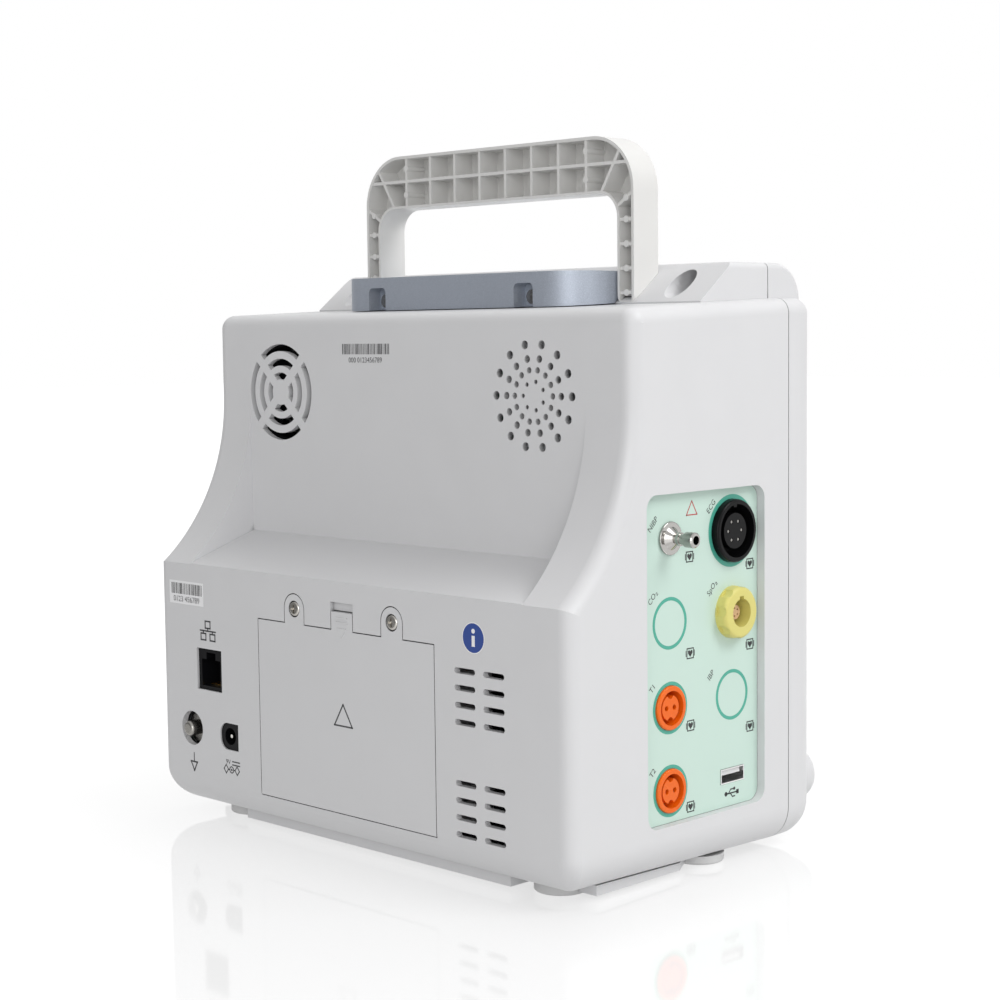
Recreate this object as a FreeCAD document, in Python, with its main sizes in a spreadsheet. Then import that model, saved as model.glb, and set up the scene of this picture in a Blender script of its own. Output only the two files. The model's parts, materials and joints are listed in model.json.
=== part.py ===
"""Patient monitor, built as separate pieces.

Frame: millimetres, +Z up, +X to the right of a person facing the screen, -Y out of the screen.
The origin is the centre of the mounting plate's underside. The patient sockets are on the -X side.
"""
import FreeCAD, Part
import os
import re

import Sketcher

SIZES = {
    # Casing, seen from the side. The rear is stepped: a lower part and an upper part set back.
    "half_width": 114,
    "rear_y": 70,
    "step_y": 37.5,
    "seam_y": -49,
    "seam_gap": 0.4,
    "front_y": -70,
    "low_rear": 4.2,
    "low_front": 1.6,
    "top_rear": 200.8,
    "top_front": 204.3,
    "wall": 2.5,
    "corner_round": 14,
    "edge_round": 5.5,
    # The scallop between the two cheeks of the rear, and its sloping shelf.
    "cheek_inner": 92.5,
    "cheek_curve": 82,
    "cheek_curve_z": 167.5,
    "ledge_z": 113.4,
    "shelf_rear_z": 102.1,
    # The crown, a narrower raised top behind the screen.
    "crown_half": 104.5,
    "crown_top": 217.4,
    "crown_round": 2.5,
    "slope_low_y": -10.1,
    "slope_low_z": 203.3,
    "slope_top_y": -28.5,
    "well_x": 88.5,
    "well_z": 209.8,
    "well_radius": 5.2,
    "well_depth_y": -40,
    # Carry handle.
    "handle_half": 73.2,
    "handle_rear": -10.4,
    "handle_front": -24.1,
    "handle_top": 264.8,
    "handle_low": 202.4,
    "leg_width": 8,
    "grip_under": 243.7,
    "handle_round": 20,
    "grip_round": 9,
    "leg_round": 3.8,
    "handle_rim": 1.2,
    "handle_lip": 1,
    "pocket_floor": -20.6,
    "rib": 1.2,
    "rib_rear": -11,
    "web_half": 3.4,
    "rib_pitch": 14.1,
    "rib_mid_z": 254.6,
    "leg_rib_low": 207,
    "leg_rib_pitch": 8.9,
    "pin_mark": 1.25,
    # Trim block between the legs of the handle.
    "block_half": 64.4,
    "block_rear": 13.9,
    "block_top": 215,
    "block_low_rear": 202.1,
    "block_low_front": 203.2,
    "block_front_low_y": -9.6,
    "block_front_top_y": -24.3,
    "block_round": 14,
    "block_screw_z": 206,
    "slot_x": 40.3,
    "slot_half": 4.9,
    "slot_top": 211,
    "slot_depth_y": 7.6,
    # Battery cover in the lower rear face.
    "door_half": 49.2,
    "door_low": 15.7,
    "door_top": 84.1,
    "door_thick": 2.5,
    "door_gap": 0.4,
    "tab_x": 27.4,
    "tab_z": 89.9,
    "tab_half": 5.6,
    "latch_half": 5.9,
    "catch_half": 4.4,
    "latch_top": 91,
    "notch_top": 94.6,
    "notch_depth": 1.8,
    "screw_sink": 1.3,
    "bay_half": 47,
    "bay_low": 18,
    "bay_top": 81,
    "bay_depth": 27,
    # Side panel with the patient sockets.
    "panel_front_y": -34.7,
    "panel_rear_y": 30.8,
    "panel_low": 20.9,
    "panel_top": 137,
    "panel_round": 5,
    "panel_x": -110.7,
    "panel_thick": 0.9,
    "rear_column_y": 15,
    "front_column_y": -19.6,
    "row_a": 121.2,
    "row_b": 91.8,
    "row_c": 61.7,
    "row_d": 32.3,
    # Sockets.
    "ecg_radius": 11.35,
    "ecg_mouth": 9.6,
    "ecg_rim_x": -113.5,
    "ecg_floor_x": -105,
    "ecg_insert": 6.4,
    "ecg_insert_x": -112.4,
    "ecg_pin_circle": 3.75,
    "ecg_pin_radius": 0.5,
    "socket_tail": -97,
    "tail_radius": 8.6,
    "spo2_radius": 9.45,
    "spo2_mouth": 5.1,
    "spo2_rim_x": -115.4,
    "spo2_floor_x": -106,
    "spo2_insert": 2.6,
    "spo2_insert_x": -112.4,
    "scallop_radius": 4,
    "scallop_offset": 3.3,
    "temp_radius": 7.85,
    "temp_mouth": 6.1,
    "temp_rim_x": -111.7,
    "temp_floor_x": -105,
    "temp_insert": 4.5,
    "temp_insert_x": -110.9,
    "temp_pin_spread": 2.1,
    "temp_pin_hole": 0.95,
    "nibp_flange": 5.9,
    "nibp_stem": 2,
    "nibp_collar": 2.35,
    "nibp_tip": 2.7,
    "nibp_bore": 1.6,
    "nibp_tip_start": 7.8,
    "nibp_tip_long": 3.6,
    "nibp_nose": 0.5,
    "nibp_tail": 4.2,
    "usb_half": 6.7,
    "usb_half_high": 2.7,
    "usb_tail": -96.5,
    # Rear connectors.
    "lan_low_x": 73.2,
    "lan_high_x": 89.1,
    "lan_low": 52.2,
    "lan_high": 68.9,
    "dc_low_x": 63.4,
    "dc_high_x": 74.9,
    "dc_low": 30,
    "dc_high": 40.7,
    "dc_round": 4.4,
    "stud_x": 93.3,
    "stud_z": 35.7,
    "stud_cup": 6.9,
    "stud_pin": 3,
    "stud_long": 6.9,
    "dc_pin_radius": 0.7,
    # Grilles in the rear.
    "speaker_x": -67.8,
    "speaker_z": 170.5,
    "fan_x": 72.9,
    "fan_z": 170.1,
    "fan_slot": 2.8,
    "fan_spoke": 3.8,
    "vent_near_x": -64.7,
    "vent_far_x": -78.8,
    "vent_half": 5.1,
    "vent_high": 2.1,
    "vent_pitch": 6.05,
    "vent_low_z": 18.7,
    "vent_high_z": 58.4,
    # Fan and speaker.
    "fan_half": 20,
    "fan_front_y": 24,
    "fan_rear_y": 34,
    "fan_bore": 18.6,
    "fan_hub": 9,
    "fan_tip": 17.8,
    "fan_shaft": 1,
    "fan_fit": 0.05,
    "speaker_radius": 19,
    # Front.
    "window_half": 88,
    "window_half_high": 67.5,
    "window_z": 118,
    "window_thick": 1.6,
    "glass_margin": 5,
    "window_round": 2.5,
    "key_z": 22,
    "key_first_x": -46,
    "key_pitch": 26.4,
    "key_half": 9.5,
    "key_half_high": 4.6,
    "key_gap": 0.35,
    "key_proud": 1.1,
    "key_travel": 0.8,
    "knob_x": -93.5,
    "knob_z": 21,
    "knob_radius": 10.75,
    "knob_front": -82,
    "knob_rear": -70.9,
    "knob_edge": 4,
    "shaft_radius": 3,
    "shaft_fit": 0.05,
    "lamp_half": 38,
    "lamp_low": 206.4,
    "lamp_high": 212.4,
    "lamp_depth": -64,
    # Base.
    "foot_rear_x": 86,
    "foot_front_x": 96,
    "foot_rear_y": 45,
    "foot_front_y": -18,
    "foot_radius": 9.6,
    "foot_low": -1.2,
    "foot_edge": 1,
    "foot_stem": 2.4,
    "plate_half": 104,
    "plate_inner_half": 74,
    "plate_slant_x": 7,
    "plate_slant_y": 12,
    "plate_front_y": 2,
    "plate_rear_y": 46.5,
    "plate_tail_y": 58,
    "plate_nose_y": -30,
    "foot_gap": 0.4,
    "mount_hole_x": 25,
    "mount_hole_y": 25,
    "mount_hole": 2.1,
    "plate_screw": 1.5,
    "plate_screw_x": 62,
    "plate_screw_front_y": 5,
    "plate_screw_rear_y": 25,
}

doc = FreeCAD.newDocument("PatientMonitor")
sheet = doc.addObject("Spreadsheet::Sheet", "Dimensions")
for line, (alias, number) in enumerate(SIZES.items(), 1):
    sheet.set(f"A{line}", alias)
    sheet.set(f"B{line}", str(number))
    sheet.setAlias(f"B{line}", alias)
doc.recompute()

PLANES = {"front": "XZ_Plane", "side": "YZ_Plane", "plan": "XY_Plane"}
AXES = {
    "+x": FreeCAD.Rotation(FreeCAD.Vector(0, 1, 0), 90),
    "-x": FreeCAD.Rotation(FreeCAD.Vector(0, 1, 0), -90),
    "+y": FreeCAD.Rotation(FreeCAD.Vector(1, 0, 0), -90),
    "-y": FreeCAD.Rotation(FreeCAD.Vector(1, 0, 0), 90),
    "+z": FreeCAD.Rotation(),
}
pieces = []


def linked(formula):
    """A formula with every size replaced by its cell in the sheet."""
    return re.sub(r"[a-z_][a-z_0-9]*", lambda word: cell(word.group()), str(formula))


def cell(word):
    return "Dimensions." + word if word in SIZES else word


def size(formula):
    """The present value of a formula, for code that needs a number."""
    return float(sheet.evalExpression(linked(formula)))


def bind(thing, **formulas):
    for name, formula in formulas.items():
        thing.setExpression(name, linked(formula))


def put(thing, x=0, y=0, z=0, turn=None):
    if turn is not None:
        thing.Placement = FreeCAD.Placement(FreeCAD.Vector(), turn)
    for name, formula in (("x", x), ("y", y), ("z", z)):
        thing.setExpression("Placement.Base." + name, linked(formula))


def box(name, x, y, z):
    """A box from its low and high limits along each axis."""
    solid = doc.addObject("Part::Box", name)
    bind(solid, Length=f"({x[1]}) - ({x[0]})", Width=f"({y[1]}) - ({y[0]})", Height=f"({z[1]}) - ({z[0]})")
    put(solid, x[0], y[0], z[0])
    return solid


def cylinder(name, radius, length, at, axis="+z"):
    """A cylinder that starts at a point and runs along an axis."""
    solid = doc.addObject("Part::Cylinder", name)
    bind(solid, Radius=radius, Height=length)
    put(solid, *at, turn=AXES[axis])
    return solid


def cone(name, radius_1, radius_2, length, at, axis="+z"):
    solid = doc.addObject("Part::Cone", name)
    bind(solid, Radius1=radius_1, Radius2=radius_2, Height=length)
    put(solid, *at, turn=AXES[axis])
    return solid


def fuse(name, *solids):
    joined = doc.addObject("Part::MultiFuse", name)
    joined.Shapes = list(solids)
    joined.Refine = True
    return joined


def group(name, *solids):
    """Separate solids kept together as one object."""
    together = doc.addObject("Part::Compound", name)
    together.Links = list(solids)
    return together


def cut(name, base, *tools):
    result = doc.addObject("Part::Cut", name)
    result.Base = base
    result.Tool = tools[0] if len(tools) == 1 else fuse(name + "_tools", *tools)
    return result


def common(name, first, second):
    result = doc.addObject("Part::Common", name)
    result.Base = first
    result.Tool = second
    return result


def origin_plane(body, role):
    for feature in body.Origin.OriginFeatures:
        if feature.Role == role:
            return feature
    raise ValueError(role)


def prism(name, plane, outline, start, end):
    """A closed outline of straight lines, each corner a pair of formulas, padded from start to end."""
    body = doc.addObject("PartDesign::Body", name)
    sketch = body.newObject("Sketcher::SketchObject", name + "_outline")
    sketch.AttachmentSupport = [(origin_plane(body, PLANES[plane]), "")]
    sketch.MapMode = "FlatFace"
    corners = [FreeCAD.Vector(size(across), size(up), 0) for across, up in outline]
    count = len(corners)
    for index in range(count):
        sketch.addGeometry(Part.LineSegment(corners[index], corners[(index + 1) % count]), False)
    for index in range(count):
        sketch.addConstraint(Sketcher.Constraint("Coincident", index, 2, (index + 1) % count, 1))
    for index, pair in enumerate(outline):
        for kind, formula, number in zip(("DistanceX", "DistanceY"), pair, corners[index]):
            place = sketch.addConstraint(Sketcher.Constraint(kind, -1, 1, index, 1, number))
            sketch.setExpression(f"Constraints[{place}]", linked(formula))
    pad = body.newObject("PartDesign::Pad", name + "_pad")
    pad.Profile = sketch
    bind(pad, Length=f"({end}) - ({start})")
    offsets = {"front": (0, end, 0), "side": (start, 0, 0), "plan": (0, 0, start)}
    put(body, *offsets[plane])
    return body


def matches(edge, along, near):
    """True for a straight edge along an axis, or an arc about it, whose middle is at the place in near."""
    if edge.Degenerated:
        return False
    kind = edge.Curve.TypeId
    if along == "arc":
        fits = kind == "Part::GeomCircle"
    else:
        run = edge.Vertexes[-1].Point - edge.Vertexes[0].Point
        fits = kind == "Part::GeomLine" and abs(getattr(run, along)) > 0.8 * run.Length
    middle = edge.CenterOfMass
    return fits and all(abs(getattr(middle, axis) - value) < 1.2 for axis, value in near.items())


def rounded(name, solid, *choices):
    """A fillet on chosen edges. Each choice is (radius, along, {axis: formula})."""
    doc.recompute()
    result = doc.addObject("Part::Fillet", name)
    result.Base = solid
    chosen = []
    for radius, along, near in choices:
        spot = {axis: size(formula) for axis, formula in near.items()}
        for number, edge in enumerate(solid.Shape.Edges, 1):
            if matches(edge, along, spot):
                chosen.append((number, size(radius), size(radius)))
    result.Edges = chosen
    return result


def both_sides(name, half):
    """A half and its mirror image across the middle plane, joined."""
    mirror = doc.addObject("Part::Mirroring", name + "_mirror")
    mirror.Source = half
    mirror.Normal = FreeCAD.Vector(1, 0, 0)
    return fuse(name, half, mirror)


def rounded_box(name, x, y, z, radius, along):
    """A box with its four edges along one axis rounded."""
    return rounded(name, box(name + "_block", x, y, z), (radius, along, {}))


def piece(result):
    """Keep an object as one piece of the monitor."""
    pieces.append(result)


# ---------------------------------------------------------------- rear housing
def casing_block(name, inset):
    """The rear housing's stepped block, every face moved inwards by inset."""
    outline = [
        ("seam_y", f"low_front + {inset}"),
        (f"rear_y - {inset}", f"low_rear + {inset}"),
        (f"rear_y - {inset}", f"top_rear - {inset}"),
        (f"step_y - {inset}", f"top_rear - {inset}"),
        ("seam_y", f"top_front - {inset}"),
    ]
    block = prism(name + "_block", "side", outline, 0, f"half_width - {inset}")
    above = box(name + "_above", (-1, "half_width + 1"), (f"step_y - {inset}", "rear_y + 1"),
                ("cheek_curve_z", "top_rear + 5"))
    cheek = cylinder(name + "_cheek", f"cheek_curve + {inset}", "half_width - cheek_inner + 5",
                     (f"cheek_inner - {inset}", "step_y + cheek_curve", "cheek_curve_z"), "+x")
    scallop = [
        (f"step_y - {inset}", f"ledge_z - {inset}"),
        ("rear_y + 1", f"shelf_rear_z - {inset}"),
        ("rear_y + 1", "cheek_curve_z + 1"),
        (f"step_y - {inset}", "cheek_curve_z + 1"),
    ]
    hollow = prism(name + "_scallop", "side", scallop, -1, f"cheek_inner + {inset}")
    stepped = cut(name + "_stepped", block, above, cheek, hollow)
    face = f"half_width - {inset}"
    half = rounded(name + "_base_round", stepped,
                   (f"corner_round - {inset}", "x", {"y": f"rear_y - {inset}", "z": f"low_rear + {inset}"}),
                   (f"corner_round - {inset}", "y",
                    {"x": face, "z": f"(low_rear + low_front) / 2 + {inset}"}))
    if inset == 0:
        half = rounded(name + "_side_round", half,
                       ("edge_round", "z", {"x": face, "y": "rear_y"}),
                       ("edge_round", "z", {"x": face, "y": "step_y"}),
                       ("edge_round", "arc", {"x": face, "y": "step_y + 11"}),
                       ("edge_round", "y", {"x": face, "z": "(top_rear + top_front) / 2"}),
                       ("edge_round", "x", {"y": "step_y", "z": "top_rear"}))
    return both_sides(name, half)


def crown_block(name, inset):
    """The part of the crown behind the seam, with the slope that carries the handle."""
    outline = [
        ("seam_y", "top_rear - 12"),
        ("slope_low_y - 2", "top_rear - 12"),
        (f"slope_low_y - {inset}", f"slope_low_z - {inset}"),
        (f"slope_top_y - {inset}", f"crown_top - {inset}"),
        ("seam_y", f"crown_top - {inset}"),
    ]
    face = f"crown_half - {inset}"
    half = prism(name + "_half", "side", outline, 0, face)
    if inset == 0:
        half = rounded(name + "_round", half,
                       ("crown_round", "y", {"x": face, "z": "crown_top"}),
                       ("crown_round", "y", {"x": face, "z": "(slope_low_z + crown_top) / 2"}),
                       ("crown_round", "x", {"y": "slope_top_y", "z": "crown_top"}))
    return both_sides(name, half)


def grille_holes():
    """Round holes of the speaker grille: three rings of fourteen and an inner ring of seven."""
    holes = []
    for ring, radius, count in ((18.4, 1.57, 14), (13.3, 1.35, 14), (9.25, 1.15, 14), (5.1, 0.8, 7)):
        for step in range(count):
            angle = 360 * step / count
            holes.append(cylinder(f"grille_{count}_{round(ring)}_{step}", radius, "wall + 3",
                                  (f"speaker_x + {ring} * cos({angle} deg)", "step_y - wall - 1",
                                   f"speaker_z + {ring} * sin({angle} deg)"), "+y"))
    return fuse("grille_holes", *holes)


def fan_slots():
    """Three rings of curved slots, parted by two crossed spokes."""
    rings = []
    for number, outer in enumerate((19.2, 13.4, 7.9)):
        disc = cylinder(f"fan_ring_{number}", outer, "wall + 3", ("fan_x", "step_y - wall - 1", "fan_z"),
                        "+y")
        core = cylinder(f"fan_core_{number}", f"{outer} - fan_slot", "wall + 3",
                        ("fan_x", "step_y - wall - 1", "fan_z"), "+y")
        rings.append(cut(f"fan_slot_{number}", disc, core))
    spokes = []
    for number, lean in enumerate((45, -45)):
        bar = doc.addObject("Part::Box", f"fan_spoke_{number}")
        bind(bar, Length=44, Width="wall + 4", Height="fan_spoke")
        turn = FreeCAD.Rotation(FreeCAD.Vector(0, 1, 0), lean)
        offset = turn.multVec(FreeCAD.Vector(-22, 0, -size("fan_spoke") / 2))
        put(bar, f"fan_x + {offset.x}", "step_y - wall - 1.5", f"fan_z + {offset.z}", turn)
        spokes.append(bar)
    return cut("fan_slots", fuse("fan_rings", *rings), *spokes)


def vent_slots():
    """Two groups of eight slots with round ends, low beside the battery cover."""
    slots = []
    for group_z in ("vent_low_z", "vent_high_z"):
        for column in ("vent_near_x", "vent_far_x"):
            for row in range(4):
                middle = f"{group_z} + {row} * vent_pitch"
                slots.append(rounded_box(f"{group_z}_{column}_{row}",
                                         (f"{column} - vent_half", f"{column} + vent_half"),
                                         ("rear_y - wall - 1", "rear_y + 1"),
                                         (f"{middle} - vent_high / 2", f"{middle} + vent_high / 2"),
                                         "vent_high / 2 - 0.02", "y"))
    return group("vent_slots", *slots)


def door_plate(name, gap, front, rear):
    """The battery cover's outline: a plate with two rounded screw tabs, grown by gap."""
    parts = [box(name + "_plate", (f"-door_half - {gap}", f"door_half + {gap}"), (front, rear),
                 (f"door_low - {gap}", f"door_top + {gap}"))]
    for side, sign in (("right", "+"), ("left", "-")):
        parts.append(box(f"{name}_tab_{side}", (f"{sign}tab_x - tab_half - {gap}",
                                                f"{sign}tab_x + tab_half + {gap}"),
                         (front, rear), ("door_top - 1", "tab_z")))
        parts.append(cylinder(f"{name}_tab_end_{side}", f"tab_half + {gap}", f"({rear}) - ({front})",
                              (f"{sign}tab_x", front, "tab_z"), "+y"))
    return fuse(name, *parts)


SOCKETS = {
    "ecg": ("front_column_y", "row_a", "ecg_radius"),
    "spo2": ("front_column_y", "row_b", "tail_radius"),
    "temp_1": ("rear_column_y", "row_c", "temp_radius"),
    "temp_2": ("rear_column_y", "row_d", "temp_radius"),
    "nibp": ("rear_column_y", "row_a", "nibp_tail"),
}


def panel_holes(name, gap, low_x, high_x):
    """One hole for each socket of the side panel, and the slot for the USB socket."""
    holes = []
    for label, (y, z, radius) in SOCKETS.items():
        holes.append(cylinder(f"{name}_{label}", f"{radius} + {gap}", f"({high_x}) - ({low_x})",
                              (low_x, y, z), "+x"))
    holes.append(box(name + "_usb", (low_x, high_x), (f"front_column_y - usb_half - {gap}",
                                                      f"front_column_y + usb_half + {gap}"),
                     (f"row_d - usb_half_high - {gap}", f"row_d + usb_half_high + {gap}")))
    return holes


# Holes in the casing's floor on each side of the middle: radius, distance from the middle, place along Y.
FLOOR_HOLES = (
    ("foot_stem", "foot_front_x", "foot_front_y"),
    ("foot_stem", "foot_rear_x", "foot_rear_y"),
    ("plate_screw", "plate_screw_x", "plate_screw_front_y"),
    ("plate_screw", "plate_screw_x", "plate_screw_rear_y"),
    ("mount_hole + 0.2", "mount_hole_x", "mount_hole_y"),
    ("mount_hole + 0.2", "mount_hole_x", "-mount_hole_y"),
)


def make_rear_housing():
    outer = fuse("casing_outer", casing_block("casing", 0), crown_block("crown_outer", 0))
    walls = cut("casing_walls", outer, casing_block("casing_inside", "wall"),
                crown_block("crown_inside", "wall"))
    well = box("panel_backing", ("-half_width + 1", "panel_x + panel_thick + 2"),
               ("panel_front_y - 3", "panel_rear_y + 3"), ("panel_low - 3", "panel_top + 3"))
    bay = box("bay_walls", ("-bay_half - 2", "bay_half + 2"), ("rear_y - bay_depth - 2", "rear_y - 1"),
              ("bay_low - 2", "bay_top + 2"))
    ledge = box("door_ledge", ("-door_half - 3", "door_half + 3"),
                ("rear_y - door_thick - 2.5", "rear_y - 1"),
                ("door_low - 3", "notch_top + 5"))
    bosses = [box("notch_backing", ("-latch_half - 2.5", "latch_half + 2.5"), ("rear_y - 8", "rear_y - 1"),
                  ("bay_top", "notch_top + 2"))]
    for side, sign in (("right", "+"), ("left", "-")):
        bosses.append(cylinder(f"door_boss_{side}", 4.5, 17, (f"{sign}tab_x", "rear_y - 18", "tab_z"), "+y"))
        bosses.append(cylinder(f"well_wall_{side}", "well_radius + 1.8", "slope_low_y - 4 - well_depth_y",
                               (f"{sign}well_x", "well_depth_y - 1", "well_z - 2"), "+y"))
        bosses.append(cylinder(f"handle_boss_{side}", 4, 14,
                               (f"{sign}(handle_half - leg_width / 2)", -19, "slope_low_z - 8")))
    held = [common(boss.Name + "_held", boss, outer) for boss in bosses]
    solid = fuse("casing_solid", walls, well, bay, ledge, *held)
    recess = rounded_box("panel_recess", ("-half_width - 2", "panel_x + panel_thick"),
                         ("panel_front_y", "panel_rear_y"), ("panel_low", "panel_top"), "panel_round", "x")
    tools = [
        recess,
        door_plate("door_opening", "door_gap", "rear_y - door_thick", "rear_y + 1"),
        box("latch_way", ("-latch_half - door_gap", "latch_half + door_gap"),
            ("rear_y - door_thick", "rear_y + 1"), ("door_top", "latch_top + door_gap")),
        box("catch_way", ("-catch_half - 0.3", "catch_half + 0.3"),
            ("rear_y - 6", "rear_y - 1"), ("bay_top + 1.8", "latch_top - 0.2")),
        box("door_notch", ("-latch_half - door_gap", "latch_half + door_gap"),
            ("rear_y - notch_depth", "rear_y + 1"), ("latch_top", "notch_top")),
        box("bay_opening", ("-bay_half", "bay_half"), ("rear_y - bay_depth", "rear_y + 1"),
            ("bay_low", "bay_top")),
        box("lan_opening", ("lan_low_x", "lan_high_x"), ("rear_y - 5", "rear_y + 1"),
            ("lan_low", "lan_high")),
        rounded("dc_opening", box("dc_opening_block", ("dc_low_x", "dc_high_x"),
                                  ("rear_y - 5", "rear_y + 1"),
                                  ("dc_low", "dc_high")), ("dc_round", "y", {"x": "dc_high_x"})),
        cylinder("stud_opening", "stud_cup", 8, ("stud_x", "rear_y - 6", "stud_z"), "+y"),
        grille_holes(),
        fan_slots(),
        vent_slots(),
        *panel_holes("panel_opening", 0.2, "-half_width - 1", "-95"),
    ]
    for side, sign in (("right", "+"), ("left", "-")):
        tools.append(cylinder(f"well_{side}", "well_radius", "slope_low_y + 1 - well_depth_y",
                              (f"{sign}well_x", "well_depth_y", "well_z"), "+y"))
        tools.append(cylinder(f"well_screw_{side}", 2.1, 12,
                              (f"{sign}well_x", "well_depth_y - 9", "well_z"), "+y"))
        tools.append(cylinder(f"handle_screw_way_{side}", 1.9, 30,
                              (f"{sign}(handle_half - leg_width / 2)", -19, "slope_low_z - 15")))
        tools.append(cylinder(f"door_screw_way_{side}", 1.3, 12, (f"{sign}tab_x", "rear_y - 13", "tab_z"),
                              "+y"))
        tools.append(cylinder(f"trim_screw_hole_{side}", 1.5, 30,
                              (f"{sign}slot_x", "slope_top_y", "block_screw_z"), "+y"))
        for number, (radius, x, y) in enumerate(FLOOR_HOLES):
            tools.append(cylinder(f"floor_hole_{side}_{number}", radius, 12, (f"{sign}{x}", y, -1)))
    piece(cut("rear_housing", solid, *tools))


# ---------------------------------------------------------------- front bezel
def bezel_block(name, inset):
    """The front part of the casing, every outer face moved inwards by inset."""
    face = f"half_width - {inset}"
    front = f"front_y + {inset}"
    rear = "seam_y - seam_gap"
    main = rounded(name + "_main", box(name + "_main_block", (0, face), (front, rear),
                                       (f"low_front + {inset}", f"top_front - {inset}")),
                   (f"corner_round - {inset}", "z", {"x": face, "y": front}),
                   (f"corner_round - {inset}", "y", {"x": face, "z": f"low_front + {inset}"}),
                   (f"corner_round - {inset}", "x", {"y": front, "z": f"low_front + {inset}"}))
    brow = rounded(name + "_brow", main,
                   ("edge_round", "y", {"x": face, "z": f"top_front - {inset}"}),
                   ("edge_round", "x", {"y": front, "z": f"top_front - {inset}"}))
    crown = rounded(name + "_crown", box(name + "_crown_block", (0, f"crown_half - {inset}"), (front, rear),
                                         ("window_z", f"crown_top - {inset}")),
                    (f"corner_round - {inset}", "x", {"y": front, "z": f"crown_top - {inset}"}))
    cap = rounded(name + "_cap", crown,
                  ("crown_round", "y", {"x": f"crown_half - {inset}", "z": f"crown_top - {inset}"}))
    return both_sides(name, fuse(name + "_half", brow, cap))


def window_frame(name, margin, front, rear):
    """The outline of the window, every edge moved outwards by margin."""
    return rounded_box(name, (f"-window_half - ({margin})", f"window_half + {margin}"), (front, rear),
                       (f"window_z - window_half_high - ({margin})",
                        f"window_z + window_half_high + {margin}"),
                       "window_round", "y")


def key_block(name, number, gap, front, rear):
    middle = f"key_first_x + {number} * key_pitch"
    return rounded_box(name, (f"{middle} - key_half - {gap}", f"{middle} + key_half + {gap}"), (front, rear),
                       (f"key_z - key_half_high - {gap}", f"key_z + key_half_high + {gap}"), 2, "y")


KEY_COUNT = 6


def make_front_bezel():
    outer = bezel_block("bezel_outer", 0)
    shell = cut("bezel_shell", outer, bezel_block("bezel_inside", "wall"))
    bosses = []
    for side, sign in (("right", "+"), ("left", "-")):
        boss = cylinder(f"bezel_boss_{side}", 4, "seam_y - seam_gap - front_y - 1",
                        (f"{sign}well_x", "front_y + 1", "well_z"), "+y")
        bosses.append(common(f"bezel_boss_{side}_held", boss, outer))
        bosses.append(box(f"bezel_hook_{side}", (f"{sign}55 - 10", f"{sign}55 + 10"),
                          ("front_y + 12", "seam_y + 6"),
                          ("low_front + wall + 0.4", "low_front + wall + 2.4")))
        bosses.append(box(f"bezel_hook_root_{side}", (f"{sign}55 - 10", f"{sign}55 + 10"),
                          ("front_y + 12", "seam_y - 3"), ("low_front + 1", "low_front + wall + 2.4")))
    solid = fuse("bezel_solid", shell, *bosses)
    tools = [
        window_frame("glass_recess", "glass_margin", "front_y - 1", "front_y + window_thick"),
        window_frame("display_opening", 0, "front_y - 1", "front_y + 8"),
        box("lamp_opening", ("-lamp_half - 0.15", "lamp_half + 0.15"), ("front_y - 1", "lamp_depth"),
            ("lamp_low - 0.15", "lamp_high + 0.15")),
        cylinder("knob_opening", 4.1, 8, ("knob_x", "front_y - 1", "knob_z"), "+y"),
    ]
    for number in range(KEY_COUNT):
        tools.append(key_block(f"key_opening_{number}", number, "key_gap", "front_y - 1", "front_y + 8"))
    for side, sign in (("right", "+"), ("left", "-")):
        tools.append(cylinder(f"bezel_screw_way_{side}", 1.6, 10,
                              (f"{sign}well_x", "seam_y - seam_gap - 9", "well_z"), "+y"))
    piece(cut("front_bezel", solid, *tools))
    lamp = box("lamp_block", ("-lamp_half", "lamp_half"), ("front_y - 1", "lamp_depth"),
               ("lamp_low", "lamp_high"))
    piece(common("alarm_lens", lamp, bezel_block("lamp_surface", 0)))
    piece(box("alarm_board", ("-lamp_half - 2", "lamp_half + 2"), ("lamp_depth + 0.3", "lamp_depth + 1.9"),
              ("lamp_low - 3.2", "lamp_high - 1.2")))
    piece(window_frame("screen_window", "glass_margin - 0.15", "front_y", "front_y + window_thick - 0.1"))


def make_display():
    low = "window_z - window_half_high"
    high = "window_z + window_half_high"
    piece(box("display_panel", ("-window_half - 1", "window_half + 1"),
              ("front_y + wall + 0.2", "front_y + 6"),
              (f"{low} - 1", f"{high} + 1")))
    tray = box("display_tray", ("-window_half - 12", "window_half + 12"),
               ("front_y + wall + 0.4", "front_y + 11"),
               (f"{low} - 6", f"{high} + 6"))
    room = box("display_room", ("-window_half - 1.3", "window_half + 1.3"),
               ("front_y + wall", "front_y + 9.5"),
               (f"{low} - 1.3", f"{high} + 1.3"))
    piece(cut("display_frame", tray, room))
    piece(box("backlight", ("-window_half - 1", "window_half + 1"), ("front_y + 6.1", "front_y + 9.3"),
              (f"{low} - 1", f"{high} + 1")))


# ---------------------------------------------------------------- keys and knob
def make_keys():
    for number in range(KEY_COUNT):
        cap = key_block(f"key_cap_{number}", number, 0, "front_y - key_proud", "front_y + wall + 1")
        flange = key_block(f"key_flange_{number}", number, 1, "front_y + wall + 0.4", "front_y + wall + 1.4")
        piece(fuse(f"key_{number + 1}", cap, flange))
    board_front = "front_y + wall + 4.2"
    board = box("key_sheet", ("key_first_x - 14", f"key_first_x + {KEY_COUNT - 1} * key_pitch + 12"),
                (board_front, f"{board_front} + 1.6"), ("key_z - 8", "key_z + 8"))
    switches = []
    for number in range(KEY_COUNT):
        middle = f"key_first_x + {number} * key_pitch"
        switches.append(box(f"key_switch_{number}", (f"{middle} - 3", f"{middle} + 3"),
                            ("front_y + wall + 1.4 + key_travel + 0.1", board_front),
                            ("key_z - 3", "key_z + 3")))
    piece(fuse("key_board", board, *switches))


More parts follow.
